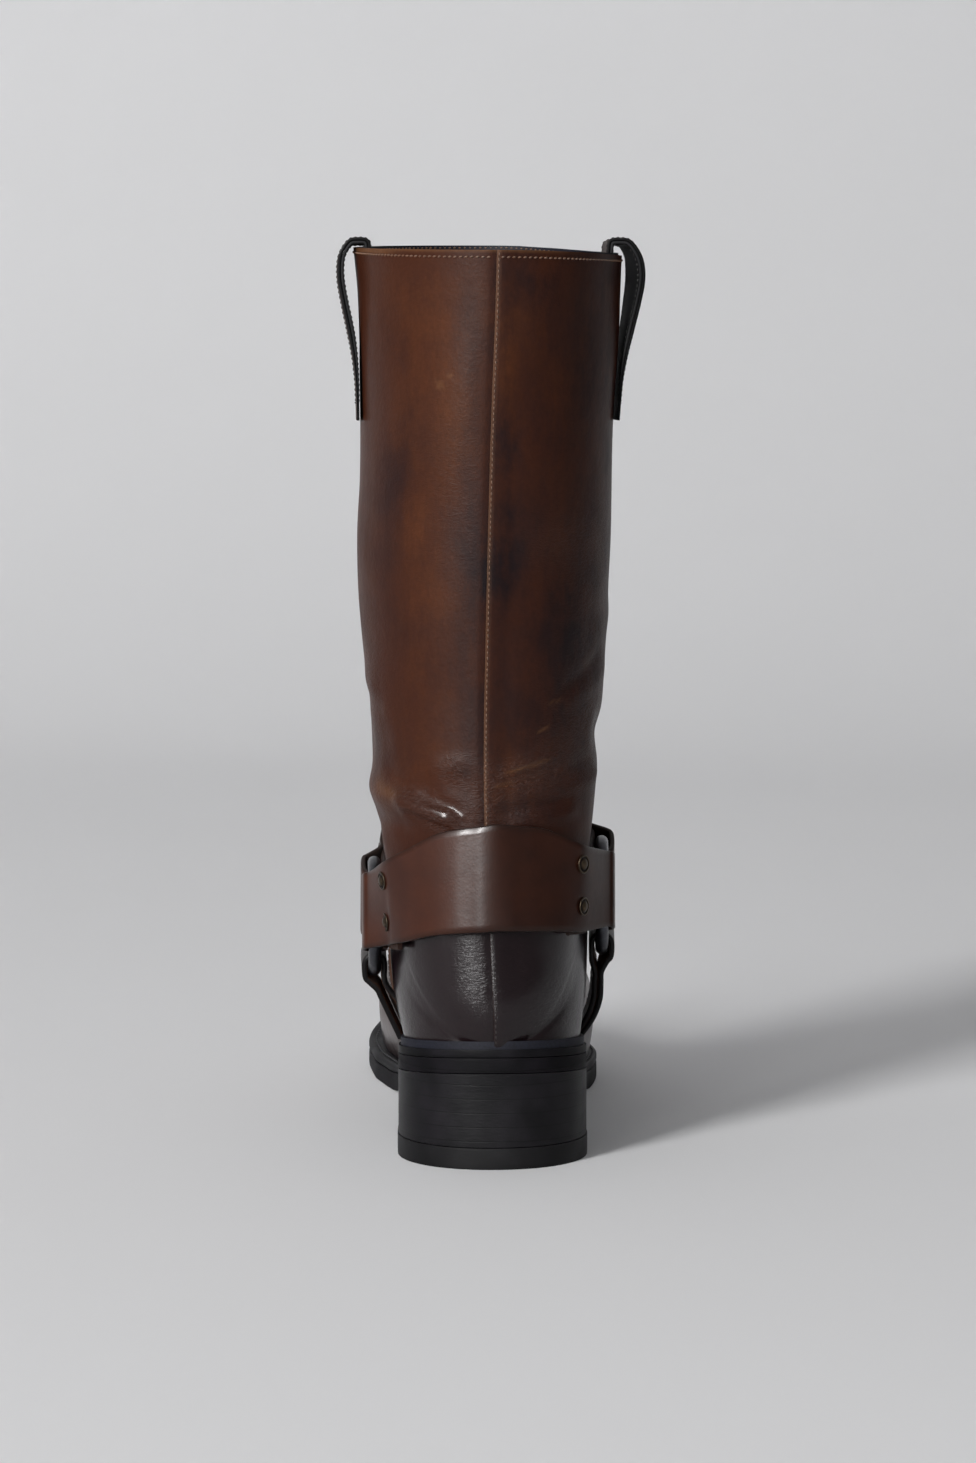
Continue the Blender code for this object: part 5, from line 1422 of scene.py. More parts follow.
# Straps on the upper, from the tail to the strap's middle. Columns: degrees from straight back, share of
# the rise to the middle's height, share of the widening, and plies of strap underneath.
HEEL_STRAP_ROWS = {
    Side.MEDIAL: ((57, 0.17, 0.06, 1.0), (46, 0.36, 0.30, 1.0), (34, 0.58, 0.58, 0.6), (20, 0.86, 0.88, 0.0),
                  (0, 1.0, 1.0, 0.0)),
    Side.LATERAL: ((46, 0.25, 0.14, 1.0), (37, 0.44, 0.38, 1.0), (29, 0.62, 0.62, 0.6), (18, 0.86, 0.88, 0.0),
                   (0, 1.0, 1.0, 0.0)),
}
# Columns: degrees from straight ahead, share of the widening, and plies.
INSTEP_STRAP_ROWS = ((54, 0.20, 1.0), (46, 0.40, 1.0), (38, 0.60, 1.0), (28, 0.80, 0.3), (14, 0.95, 0.0),
                     (0, 1.0, 0.0))
# Pull loops outside the shaft. Columns: share of the drop from the rim, and share of the bow outward.
LOOP_ROWS = ((0.045, 0.60), (0.11, 0.90), (0.20, 1.00), (0.325, 0.80), (0.466, 0.45), (0.607, 0.16),
             (0.76, 0.02), (1.00, 0.0))
# Arch straps, from the welt up. Columns: share of the way, and the bow outward of either side.
ARCH_STRAP_ROWS = ((0.0, 0.0, 0.0), (0.25, 0.0, 0.0030), (0.50, 0.0, 0.0034), (0.72, 0.0, 0.0018),
                   (0.85, 0.0, 0.0008))
# Steps after each station of a fold round a ring.
FOLD_COUNTS = (1, 2, 2, 2, 1, 1, 1, 1, 1, 1, 2, 1, 3)
# A rivet's cap from its flange inward: shares of the radius and of the height, and how far it is rubbed.
RIVET_CAP = ((0.985, 0.0, 0.1), (1.0, 0.12, 0.3), (1.0, 0.24, 0.5), (0.97, 0.33, 0.8), (0.91, 0.37, 1.0),
             (0.84, 0.33, 0.7), (0.79, 0.24, 0.1), (0.74, 0.20, 0.0), (0.66, 0.22, 0.0), (0.60, 0.30, 0.1),
             (0.54, 0.48, 0.4), (0.46, 0.66, 0.7), (0.34, 0.83, 0.95), (0.20, 0.93, 1.0), (0.07, 0.97, 1.0))


@dataclass
class Harness:
    """Rings, straps and rivets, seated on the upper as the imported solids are."""

    form: UpperForm
    strap_leather: bpy.types.Material
    arch_leather: bpy.types.Material
    ring_plate: bpy.types.Material
    rivet_plate: bpy.types.Material
    ring_wire: float = 0.0050
    ring_turn: float = math.radians(4)
    strap_thickness: float = 0.0019
    strap_width: float = 0.0390
    strap_end_width: float = 0.0288
    strap_height: float = 0.1076
    strap_stand_off: float = 0.0016
    instep_strap_width: float = 0.0360
    arch_strap_width: float = 0.0200
    arch_strap_thickness: float = 0.0016
    arch_strap_spacing: float = 0.0024
    arch_ply: float = 0.0021
    arch_twist: float = 0.0042
    arch_end_gap: float = 0.0012
    heel_rise: float = math.radians(13)
    heel_leaves: float = 0.75
    front_rise: float = math.radians(24)
    instep_tail: float = 39
    rivet_diameter: float = 0.0070
    rivet_height: float = 0.0012
    rivet_spacing: float = 0.0158
    heel_rivet_raise: float = 0.0010
    fine: int = 4

    def __post_init__(self) -> None:
        """Read the rings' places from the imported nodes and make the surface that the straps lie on."""
        self.arch_lean = {Side.MEDIAL: math.radians(8), Side.LATERAL: math.radians(11)}
        self.instep_rise = {Side.MEDIAL: math.radians(20), Side.LATERAL: math.radians(28)}
        self.heel_tail = {Side.MEDIAL: 40, Side.LATERAL: 28}
        self.heel_rivet_at = {Side.MEDIAL: 48.5, Side.LATERAL: 36}
        boxes = {side: np.array(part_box("ring_" + side.word)) for side in Side}
        self.rings = {side: box.sum(axis=0) / 2.0 for side, box in boxes.items()}
        medial = boxes[Side.MEDIAL]
        self.ring_radius = (medial[1][2] - medial[0][2] - self.ring_wire) / 2.0
        self.axis = np.array((0.0, self.rings[Side.MEDIAL][1], 0.0))
        self.tree = seat_tree(self.form)

    def reach(self, start: Array, direction: Array) -> float:
        """Distance from a point inside the boot to the upper's outer surface."""
        hit = self.tree.ray_cast(Vector(start), Vector(direction).normalized())
        return hit[3] if hit[3] is not None else 0.0

    def ring_frame(self, side: Side) -> tuple[Array, Array, Array]:
        """Centre of a ring and its forward and outward directions."""
        turn = self.ring_turn if side is Side.LATERAL else 0.0
        forward = np.array((side.value * math.sin(turn), math.cos(turn), 0.0))
        outward = np.array((side.value * math.cos(turn), -math.sin(turn), 0.0))
        return self.rings[side], forward, outward

    def ring_fold(self, side: Side, angle: float, width: float, thickness: float) -> list:
        """Stations of a strap folded round a ring, from its outer ply to its inner ply.

        Args:
            side: Which ring.
            angle: Way that the strap leaves, from straight ahead upwards.
            width: Of the strap.
            thickness: Of the strap.

        Returns:
            Pairs of edge points.
        """
        centre, forward, outward = self.ring_frame(side)
        along = math.cos(angle) * forward + math.sin(angle) * UP
        across = -math.sin(angle) * forward + math.cos(angle) * UP
        if across[2] < -0.5 or (abs(across[2]) < 0.5 and across[1] < 0.0):
            across = -across
        radius = self.ring_radius
        wire = self.ring_wire / 2.0
        start = math.sqrt(radius ** 2 - (width / 2.0) ** 2)
        start -= wire * (radius / start - 1.0) + SEAT_GAP
        bend = wire + SEAT_GAP + thickness / 2.0
        places = [(radius + bend * math.sin(t), bend * math.cos(t)) for t in np.radians((55, 28))]
        places += [(start - bend * math.sin(t), bend * math.cos(t)) for t in np.linspace(0.0, math.pi, 7)]
        places += [(radius + wire + SEAT_GAP, -bend)]
        middles = [centre + along * out + outward * lift for out, lift in places]
        return [(middle - across * width / 2.0, middle + across * width / 2.0) for middle in middles]

    def seated(self, side: Side, angle: float, centre: Array, across: Array, ahead: Array, half: float,
               plies: float, stand_off: float) -> tuple:
        """A station of a strap that lies on the upper.

        Args:
            side: Which half of the strap.
            angle: Degrees from the middle's direction towards the side.
            centre: Point inside the boot at the strap's middle.
            across: Direction across the strap.
            ahead: Direction of the strap's middle.
            half: Half of the strap's width.
            plies: Plies of strap underneath.
            stand_off: Extra room under the low edge.

        Returns:
            The station's two edges.
        """
        turn = math.radians(angle)
        beside = np.array((side.value, 0.0, 0.0))
        ways = [math.cos(t) * ahead + math.sin(t) * beside for t in turn + SEAT_SPREAD]
        shares = np.linspace(-1.0, 1.0, 7)
        hits = np.array([max(self.reach(centre + across * half * v, way) for way in ways) for v in shares])
        low = hits[0] + SEAT_GAP + stand_off
        high = hits[-1] + SEAT_GAP
        line = low + (high - low) * (shares + 1.0) / 2.0
        lift = max(0.0, float(np.max(hits + SEAT_GAP - line)))
        lift += self.strap_thickness / 2.0 + plies * (self.strap_thickness + GAP)
        out = math.cos(turn) * ahead + math.sin(turn) * beside
        return centre - across * half + out * (low + lift), centre + across * half + out * (high + lift)

    def heel_station(self, side: Side, angle: float, rise: float, widen: float, plies: float) -> tuple:
        """A station of the heel strap on the upper, at an angle from straight back."""
        base = self.rings[side][2] + self.ring_radius * math.sin(self.heel_rise) * self.heel_leaves
        height = base + (self.strap_height - base) * rise
        half = (self.strap_end_width + (self.strap_width - self.strap_end_width) * widen) / 2.0
        back = np.array((0.0, -1.0, 0.0))
        return self.seated(side, angle, self.axis + UP * height, UP, back, half, plies,
                           self.strap_stand_off * (1.0 - plies))

    def instep_station(self, side: Side, angle: float, widen: float, plies: float) -> tuple:
        """A station of the instep strap on the upper, at an angle from straight ahead."""
        share = float(smooth(angle / INSTEP_STRAP_ROWS[0][0]))
        rise = self.front_rise + (self.instep_rise[side] - self.front_rise) * share
        ahead = np.array((0.0, math.cos(rise), math.sin(rise)))
        across = np.array((0.0, -math.sin(rise), math.cos(rise)))
        middle = (self.rings[Side.MEDIAL][2] + self.rings[Side.LATERAL][2]) / 2.0
        height = middle + (self.rings[side][2] - middle) * share
        half = (self.strap_end_width + (self.instep_strap_width - self.strap_end_width) * widen) / 2.0
        return self.seated(side, angle, self.axis + UP * height, across, ahead, half, plies, 0.0)

    @staticmethod
    def even_rows(rows: Sequence[tuple], step: float = 5.0) -> list:
        """Rows of a strap table read at even angles."""
        angles = [-row[0] for row in rows]
        count = int(math.ceil((rows[0][0] - rows[-1][0]) / step)) + 1
        places = np.linspace(angles[0], angles[-1], count)
        columns = [read_table(angles, [row[k] for row in rows], places) for k in range(1, len(rows[0]))]
        return [(-float(place), *(float(values[i]) for values in columns)) for i, place in enumerate(places)]

    def half_strap(self, side: Side, station: Callable[..., tuple], table: Sequence[tuple], tail: float,
                   leaves: float, first_row: int) -> list:
        """Stations of one half of a strap, from its tail round the ring to its middle.

        Args:
            side: Which half.
            station: Makes a station from a row.
            table: The strap's rows.
            tail: Degrees where the folded end stops.
            leaves: Way that the strap leaves the ring, from straight ahead upwards.
            first_row: Row with which the strap lies down again after the ring.

        Returns:
            Pairs of edge points.
        """
        rows = self.even_rows(table)
        angle, *widths = rows[0][:-1]
        stations = [station(side, tail, *rows[1][1:-1], 0.0)]
        stations += [station(side, at, *widths, 0.0) for at in ((tail + angle) / 2.0, angle)]
        fold = self.ring_fold(side, leaves, self.strap_end_width, self.strap_thickness)
        return stations + fold[::-1] + [station(side, *row) for row in rows[first_row:]]

    def strap(self, name: str, halves: Sequence[list]) -> None:
        """Make a strap from the stations of its medial and its lateral half."""
        medial, lateral = halves
        stations = medial + lateral[::-1][1:]
        counts = []
        for half, way in ((medial, 1), (lateral, -1)):
            steps = list(FOLD_COUNTS) + [1] * (len(half) - 1 - len(FOLD_COUNTS))
            counts += [step * self.fine for step in steps[::way]]
        low, high, normal = Strip(stations, counts, 1.0).frame()
        at = sum(counts[:len(medial) - 1])
        away = (low[at] + high[at]) / 2.0 - self.axis
        away[2] = 0.0
        outside = 1.0 if float(np.dot(normal[at], away)) > 0.0 else -1.0
        strip = Strip(stations, counts, self.strap_thickness, 18, outside=outside)
        make_piece(name, strip.mesh(), [self.strap_leather], (name,))

    def arch_station(self, side: Side, row: tuple, ply: float, fold: list) -> tuple:
        """A station of the arch strap.

        Args:
            side: Which strap.
            row: Share of the way up and the bows outward.
            ply: 1 for the outer ply, -1 for the inner one.
            fold: Stations of the fold round the ring.

        Returns:
            The station's two edges.
        """
        sole = self.form.sole
        ring_along = float(self.axis[1]) + sole.heel_centre
        drop = self.rings[side][2] - float(sole.welt_top(ring_along))
        foot = ring_along + drop * math.tan(self.arch_lean[side])
        share = row[0]
        bow = row[1 if side is Side.MEDIAL else 2]
        seat = SEAT_GAP + (self.arch_strap_thickness + self.arch_strap_spacing) / 2.0
        way = np.array((side.value, 0.0, 0.0))
        result = []
        for edge, sign in ((0, -1.0), (1, 1.0)):
            low_along = foot + sign * self.arch_strap_width / 2.0
            low_height = float(sole.welt_top(low_along)) + self.arch_end_gap
            high = (fold[0][edge] + fold[-1][edge]) / 2.0
            place = low_along + (high[1] + sole.heel_centre - low_along) * share
            height = low_height + (high[2] - low_height) * share
            low_out = self.reach(sole.world(0.0, low_along, low_height + GAP), way) + seat
            straight = low_out + (abs(high[0]) - low_out) * share + bow
            held = self.reach(sole.world(0.0, place, height), way) + seat
            out = max(straight, held) + ply * self.arch_strap_spacing / 2.0
            if (side, ply, edge) == (Side.MEDIAL, -1.0, 0):
                out -= self.arch_twist * 4.0 * share * (1.0 - share)
            result.append(sole.world(side.value * out, place, height))
        return tuple(result)

    def build_arch(self, side: Side) -> None:
        """Make the doubled arch strap of one side."""
        fold = self.ring_fold(side, -math.pi / 2.0 + self.arch_lean[side], self.arch_strap_width,
                              self.arch_strap_thickness)
        outer = [self.arch_station(side, row, 1.0, fold) for row in ARCH_STRAP_ROWS]
        inner = [self.arch_station(side, row, -1.0, fold) for row in ARCH_STRAP_ROWS[::-1]]
        stations = outer + fold + inner
        counts = [value * self.fine for value in [2] * 5 + [1] * 8 + [2] * 6]
        normal = Strip(stations, counts, 1.0).frame()[2]
        outside = 1.0 if normal[0][0] * side.value > 0.0 else -1.0
        strip = Strip(stations, counts, self.arch_ply, 12, outside=outside)
        name = "arch_strap_" + side.word
        make_piece(name, strip.mesh(), [self.arch_leather], (name,))

    def build_ring(self, side: Side, around: int = 128, section: int = 28) -> None:
        """Make a ring of round wire, rubbed bright on its outer side."""
        centre, forward, outward = self.ring_frame(side)
        turns = 2.0 * math.pi * np.arange(around) / around
        leans = (2.0 * math.pi * np.arange(section) / section)[:, None]
        points = []
        for turn in turns:
            spoke = math.cos(turn) * forward + math.sin(turn) * UP
            offset = spoke * np.cos(leans) + outward * np.sin(leans)
            points.append(centre + spoke * self.ring_radius + offset * self.ring_wire / 2.0)
        high = np.tile(0.55 + 0.35 * np.sin(leans[:, 0]), around)
        faces = ring_quads(around, section, True, True)
        mesh = Mesh(np.concatenate(points), faces, [0] * len(faces), {"high": high})
        name = "ring_" + side.word
        make_piece(name, mesh, [self.ring_plate], (name,))

    def build_rivet(self, name: str, station: tuple, neighbour: tuple, share: float, steps: int = 48) -> None:
        """Make a tubular rivet's cap: a flat flange, a rolled rim, a groove and a low dome.

        Args:
            name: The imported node.
            station: The strap's edges where the rivet stands.
            neighbour: The strap's edges a little further on.
            share: Place between the edges.
            steps: Points round the cap.
        """
        low, high = station
        place = low + (high - low) * share
        across = unit(high - low)
        along = unit(neighbour[0] + (neighbour[1] - neighbour[0]) * share - place)
        outward = unit(np.cross(along, across))
        middle = self.axis + UP * float(low[2] + high[2]) / 2.0
        if float(np.dot(outward, place - middle)) < 0.0:
            outward = -outward
        along = unit(np.cross(across, outward))
        base = place + outward * (self.strap_thickness / 2.0 + 0.1 * MM)
        turns = 2.0 * math.pi * np.arange(steps) / steps
        spokes = along * np.cos(turns)[:, None] + across * np.sin(turns)[:, None]
        points = [base + spokes * width * self.rivet_diameter / 2.0 + outward * lift * self.rivet_height
                  for width, lift, _ in RIVET_CAP]
        faces = ring_quads(len(RIVET_CAP), steps, False, True)
        faces.append(tuple(range(steps - 1, -1, -1)))
        faces.append(tuple(range((len(RIVET_CAP) - 1) * steps, len(RIVET_CAP) * steps)))
        field = np.repeat([rub for _, _, rub in RIVET_CAP], steps)
        mesh = Mesh(np.concatenate(points), faces, [0] * len(faces), {"high": field})
        make_piece(name, mesh, [self.rivet_plate], (name,), 50.0)

    def build(self) -> None:
        """Make every strap, ring and rivet."""
        self.strap("heel_strap", [self.half_strap(side, self.heel_station, HEEL_STRAP_ROWS[side],
                                                  self.heel_tail[side], math.pi - self.heel_rise, 2)
                                  for side in Side])
        self.strap("instep_strap", [self.half_strap(side, self.instep_station, INSTEP_STRAP_ROWS,
                                                    self.instep_tail, self.instep_rise[side], 0)
                                    for side in Side])
        number = {"heel": 0, "instep": 0}
        for side in Side:
            self.build_arch(side)
            self.build_ring(side)
            first, second = HEEL_STRAP_ROWS[side][:2]
            part = (first[0] - self.heel_rivet_at[side]) / (first[0] - second[0])
            angle, *widths = [a + (b - a) * part for a, b in zip(first, second)]
            pairs = {"heel": [self.heel_station(side, angle - step, *widths) for step in (0.0, 1.0)],
                     "instep": [self.instep_station(side, at, 0.20, 1.0) for at in (47, 46)]}
            for strap, (station, neighbour) in pairs.items():
                width = float(np.linalg.norm(station[1] - station[0]))
                raised = self.heel_rivet_raise if strap == "heel" else 0.0
                for sign in (-1.0, 1.0):
                    number[strap] += 1
                    share = 0.5 + (sign * self.rivet_spacing / 2.0 + raised) / width
                    self.build_rivet(f"rivet_{strap}_{number[strap]}", station, neighbour, share)


def seat_tree(form: UpperForm) -> BVHTree:
    """The upper's plain outer surface, with its laps, that the straps and loops lie on."""
    turns = np.linspace(0.0, 1.0, 65)
    rows = [(row, True) for row in even_runs((0.0, 4.0, form.vamp_row), (16, 22))]
    rows += [(row, False) for row in even_runs((form.vamp_row, form.seam_row, form.last_row), (18, 30))]
    points: list = []
    for row, on_vamp in rows:
        places = np.full(len(turns), row)
        point = form.base(places, turns)
        distance = np.linalg.norm(point - point[0], axis=-1)
        raised = form.seam_lap * (1.0 - smooth(distance / form.seam_fade))
        raised = np.where((turns < 0.25) & (row >= form.seam_row - 1e-6), raised, 0.0)
        if on_vamp:
            raised = raised + form.vamp_step(places)
        points += list(point + form.normal(places, turns) * raised[:, None])
    faces = ring_quads(len(rows), len(turns), False, False)
    return BVHTree.FromPolygons([Vector(point) for point in points], faces)


@dataclass
class PullLoops:
    """The two pull loops: a brown ply over a black one, sewn together along both edges."""

    harness: Harness
    outer_leather: bpy.types.Material
    inner_leather: bpy.types.Material
    thread: bpy.types.Material
    width: float = 0.0270
    thickness: float = 0.0026
    drop: float = 0.0668
    inner_drop: float = 0.0420
    bow: float = 0.0042
    taper: float = 0.62
    along: float = 0.0640
    fine: int = 5

    def collar_height(self, along: float) -> float:
        """Height of the collar's edge at a place along the boot."""
        row = self.harness.form.columns[-1]
        return float(row[1] + (row[3] - row[1]) * (along - row[0]) / (row[2] - row[0]))

    def surface(self, side: Side, height: float) -> tuple[float, float]:
        """Least and greatest reach of the shaft's outside under the loop."""
        half = self.width / 2.0
        held = min(height, self.collar_height(self.along - half) - GAP)
        sole = self.harness.form.sole
        hits = [self.harness.reach(sole.world(0.0, self.along + half * v, held),
                                   np.array((side.value, 0.0, 0.0))) for v in (-1.0, -0.5, 0.0, 0.5, 1.0)]
        return min(hits), max(hits)

    def stations(self, side: Side) -> tuple[list, list]:
        """Stations of a loop from inside the shaft over the collar, and the steps after each."""
        half = self.width / 2.0
        rim = self.collar_height(self.along + half)
        wall = self.harness.form.wall
        seat = SEAT_GAP + self.thickness / 2.0
        heights = [rim - self.inner_drop * share for share in (1.0, 0.5, 0.14, 0.04)]
        rows = [(self.surface(side, height)[0] - wall - seat, height, 0.0) for height in heights]
        low, high = self.surface(side, rim)
        slope = seat * math.sqrt(0.5)
        rows += [(low - wall - slope, rim + slope, 0.0), (high - wall / 2.0, rim + seat, 0.0),
                 (high + slope, rim + slope, 0.3)]
        for share, bow in LOOP_ROWS:
            height = rim - self.drop * share
            thin = 1.0 - self.taper * smooth((share - 0.45) / 0.55)
            out = self.surface(side, height)[1] + SEAT_GAP + self.thickness / 2.0 * thin
            rows.append((out + self.bow * bow, height, bow))
        result = []
        lean = math.radians(-7) if side is Side.LATERAL else 0.0
        for out, height, bow in rows:
            turn = lean * bow
            across = np.array((side.value * math.sin(turn), math.cos(turn), 0.0)) * half
            middle = self.harness.form.sole.world(side.value * out, self.along, height)
            result.append((middle - across, middle + across))
        counts = [2, 3, 2, 2, 2, 2, 2] + [2] * (len(result) - 8)
        return result, [count * self.fine for count in counts]

    def build_side(self, side: Side) -> None:
        """Make one loop: two plies and its rows of stitches."""
        stations, counts = self.stations(side)
        name = "pull_loop_" + side.word
        ply = self.thickness / 2.0 - 0.05 * MM
        shift = self.thickness / 4.0
        plies = (("outer", self.outer_leather, shift), ("inner", self.inner_leather, -shift))
        strip = Strip(stations, counts, ply, 12, 0.0004, side.value, 0.0, self.taper)
        for title, leather, offset in plies:
            shifted = replace(strip, offset=offset)
            make_piece(f"{name}_{title}", shifted.mesh(), [leather], (name,))
        low, high, normal = strip.frame()
        half = (self.thickness / 2.0 * strip.thinning(len(low)) + 0.02 * MM)[:, None]
        parts = []
        seed = 20
        for near, far in ((low, high), (high, low)):
            for face in (1.0, -1.0):
                path = near + unit(far - near) * 1.9 * MM + normal * half * face
                parts.append(stitch_row(path[4:-4], normal[4:-4] * face, 0.0020, 0.6, 0.15 * MM, 4.0, seed))
                seed += 1
        for back in (5, 14):
            share = np.linspace(0.09, 0.91, 12)[:, None]
            path = low[-back] + (high[-back] - low[-back]) * share + normal[-back] * half[-back]
            parts.append(stitch_row(path, np.tile(normal[-back], (12, 1)), 0.0022, 0.7, 0.28 * MM, 0.0, seed))
            seed += 1
        make_piece(name + "_stitches", Mesh.joined(parts), [self.thread])

    def build(self) -> None:
        """Make both loops."""
        for side in Side:
            self.build_side(side)


@dataclass
class SoleStack:
    """Outsole, welt, stacked heel with its top lift, and the insole."""

    sole: SoleForm
    wall: float
    outsole_edge: bpy.types.Material
    heel_edge: bpy.types.Material
    lift_rubber: bpy.types.Material
    welt_leather: bpy.types.Material
    insole_leather: bpy.types.Material
    thread: bpy.types.Material
    top_lift: float = 0.0078
    lifts: int = 4
    insole_thickness: float = 0.0030
    insole_gap: float = 0.0017
    stitch_pitch: float = 0.0034
    around: int = 150

    def rim(self, inset: float, count: int, end: float = 1.0) -> Array:
        """Places round the sole, the same number for every inset.

        Args:
            inset: How far in, as a share of the welt's width.
            count: Places on each side.
            end: Share of the sole's length where the run ends.

        Returns:
            Rows of X and along; lateral side forward, then medial side back.
        """
        sole = self.sole
        start = inset * sole.welt_width * float(sole.outline_value(4, 0.0))
        stop = (sole.length - inset * sole.welt_width) if end >= 1.0 else sole.length * end
        angles = np.linspace(0.0, math.pi if end >= 1.0 else math.pi / 2.0, count)
        reach = (1.0 - np.cos(angles)) / (2.0 if end >= 1.0 else 1.0)
        along = start + (stop - start) * reach
        lateral = np.stack([sole.side(Side.LATERAL, along, inset), along], axis=-1)
        medial = np.stack([sole.side(Side.MEDIAL, along, inset), along], axis=-1)[::-1]
        return np.concatenate([lateral, medial[1:-1] if end >= 1.0 else medial[:-1]])

    @staticmethod
    def lid(count: int, first: int, flip: bool) -> list:
        """Faces across a rim, in strips from its lateral side to its medial side."""
        faces = [(first, first + 1, first + count - 1)]
        right, left = 1, count - 1
        while left - right > 1:
            if left - right == 2:
                faces.append((first + right, first + right + 1, first + left))
                break
            faces.append((first + right, first + right + 1, first + left - 1, first + left))
            right += 1
            left -= 1
        return [face[::-1] for face in faces] if flip else faces

    def slab(self, levels: Sequence[tuple[float, Callable[[Array], Array]]], scale: float = 1.0,
             end: float = 1.0) -> Mesh:
        """A solid lofted through level rims with flat ends.

        Args:
            levels: Inset in metres and height as a function of along, bottom to top.
            scale: Growth about the heel's centre.
            end: Share of the sole's length where the piece ends.

        Returns:
            The closed mesh.
        """
        rings = []
        edge = self.rim(0.0, self.around, end)
        for inset, height in levels:
            rim = self.rim(inset / self.sole.welt_width, self.around, end)
            rim = edge + (rim - edge) * self.trimmed(edge[:, 1])[:, None]
            side = rim[:, 0] * scale
            along = self.sole.heel_centre + (rim[:, 1] - self.sole.heel_centre) * scale
            rings.append(self.sole.world(side, along, height(rim[:, 1])))
        count = len(rings[0])
        faces = ring_quads(len(rings), count, False, True)
        faces += self.lid(count, 0, True) + self.lid(count, count * (len(rings) - 1), False)
        return Mesh(np.concatenate(rings), faces, [0] * len(faces), {})

    def trimmed(self, along: Array) -> Array:
        """Share of an edge's rounding that is left; round the heel every layer is trimmed flush."""
        return 0.18 + 0.82 * smooth((along - self.sole.heel_length) / 0.02)

    @staticmethod
    def between(low: Callable[[Array], Array], high: Callable[[Array], Array], share: float) -> Callable:
        """The height a share of the way from one surface to another."""
        return lambda along: low(along) + (high(along) - low(along)) * share

    def build_outsole(self) -> None:
        """Make the outsole with its trimmed and slightly rounded edge."""
        shape = ((0.9, 0.0), (0.42, 0.04), (0.12, 0.14), (0.0, 0.32), (0.0, 0.6), (0.06, 0.84), (0.28, 0.96),
                 (0.7, 1.0))
        levels = [(inset * MM, self.between(self.sole.bottom, self.sole.top, share))
                  for inset, share in shape]
        make_piece("outsole_leather", self.slab(levels), [self.outsole_edge], ("outsole",))

    def build_heel(self) -> None:
        """Make the heel's stacked lifts and the worn top lift under them."""
        end = self.sole.heel_length / self.sole.length
        base = partial(np.full_like, fill_value=self.top_lift + GAP)
        lift = ((0.16, 0.0), (0.03, 0.07), (0.0, 0.2), (0.0, 0.8), (0.03, 0.93))
        shape = [(inset, (i + share) / self.lifts) for i in range(self.lifts) for inset, share in lift]
        shape.append((0.16, 1.0))
        levels = [(inset * MM, self.between(base, lambda along: self.sole.bottom(along) - GAP, share))
                  for inset, share in shape]
        make_piece("heel_lifts", self.slab(levels, end=end), [self.heel_edge], ("heel_block",))
        shape = ((0.9, 0.0), (0.45, 0.05), (0.15, 0.16), (0.0, 0.34), (0.0, 0.86), (0.10, 0.96), (0.35, 1.0))
        levels = [(inset * MM, partial(np.full_like, fill_value=self.top_lift * share))
                  for inset, share in shape]
        scale = 1.0 + GAP / (self.sole.heel_width / 2.0)
        make_piece("top_lift_rubber", self.slab(levels, scale, end), [self.lift_rubber],
                   ("top_lift",))

    def build_welt(self) -> None:
        """Make the welt with its rounded edge, and sew it through to the outsole."""
        inner = 1.0 + self.wall / self.sole.welt_width
        shape = ((inner, 0.0), (0.16, 0.0), (0.05, 0.08), (0.0, 0.3), (0.0, 0.62), (0.04, 0.86), (0.14, 0.98),
                 (0.30, 1.0), (0.46, 0.975), (0.54, 0.93), (0.62, 0.97), (0.8, 1.0), (inner, 1.0))
        rings = []
        for inset, share in shape:
            rim = self.rim(inset, self.around)
            if inset < 0.2:
                edge = self.rim(0.0, self.around)
                rim = edge + (rim - edge) * self.trimmed(edge[:, 1])[:, None]
            height = self.between(self.sole.welt_bottom, self.sole.welt_top, share)
            rings.append(self.sole.world(rim[:, 0], rim[:, 1], height(rim[:, 1])))
        count = len(rings[0])
        faces = ring_quads(len(rings), count, True, True)
        mesh = Mesh(np.concatenate(rings), faces, [0] * len(faces), {})
        make_piece("welt_strip", mesh, [self.welt_leather], ("welt",))
        rim = self.rim(0.54, 400)
        rim = rim[rim[:, 1] > self.sole.heel_length + 0.004]
        height = self.between(self.sole.welt_bottom, self.sole.welt_top, 0.96)
        path = self.sole.world(rim[:, 0], rim[:, 1], height(rim[:, 1]))
        sew("welt_stitches", path, np.tile(UP, (len(path), 1)), self.stitch_pitch, 0.76, 0.42, 9.0, 3,
            self.thread)

    def insole_top(self, along: Array) -> Array:
        """Height of the insole's upper face."""
        return self.sole.welt_top(along) + self.insole_thickness

    def build_insole(self) -> None:
        """Make the insole, lying inside on the outsole."""
        inset = self.sole.welt_width + self.wall + self.insole_gap
        levels = [(inset + step * MM, self.between(self.sole.welt_bottom, self.insole_top, share))
                  for step, share in ((0.0, 0.0), (0.0, 0.7), (0.15, 0.9), (0.5, 1.0))]
        make_piece("insole_board", self.slab(levels), [self.insole_leather], ("insole",))

    def build(self) -> None:
        """Make every layer of the sole."""
        self.build_outsole()
        self.build_heel()
        self.build_welt()
        self.build_insole()


# Lights. Columns: name, degrees from the camera's side of the boot, negative to its left, degrees above
# the floor, distance from the point that it faces, width and height, watts, that point, and the way in
# which it isn't seen.
LIGHTS = (
    ("key_softbox", -41.0, 22.0, 4.6, (0.9, 2.8), 222.0, (0.0, 0.0, 0.15), "visible_glossy"),
    ("strip_softbox", -24.0, 29.0, 4.6, (0.42, 2.4), 600.0, (0.0, 0.0, 0.15), "visible_diffuse"),
    ("background_wash", 180.0, 86.0, 2.5, (2.4, 1.2), 2.2, (0.0, 1.9, 0.0), "visible_glossy"),
)


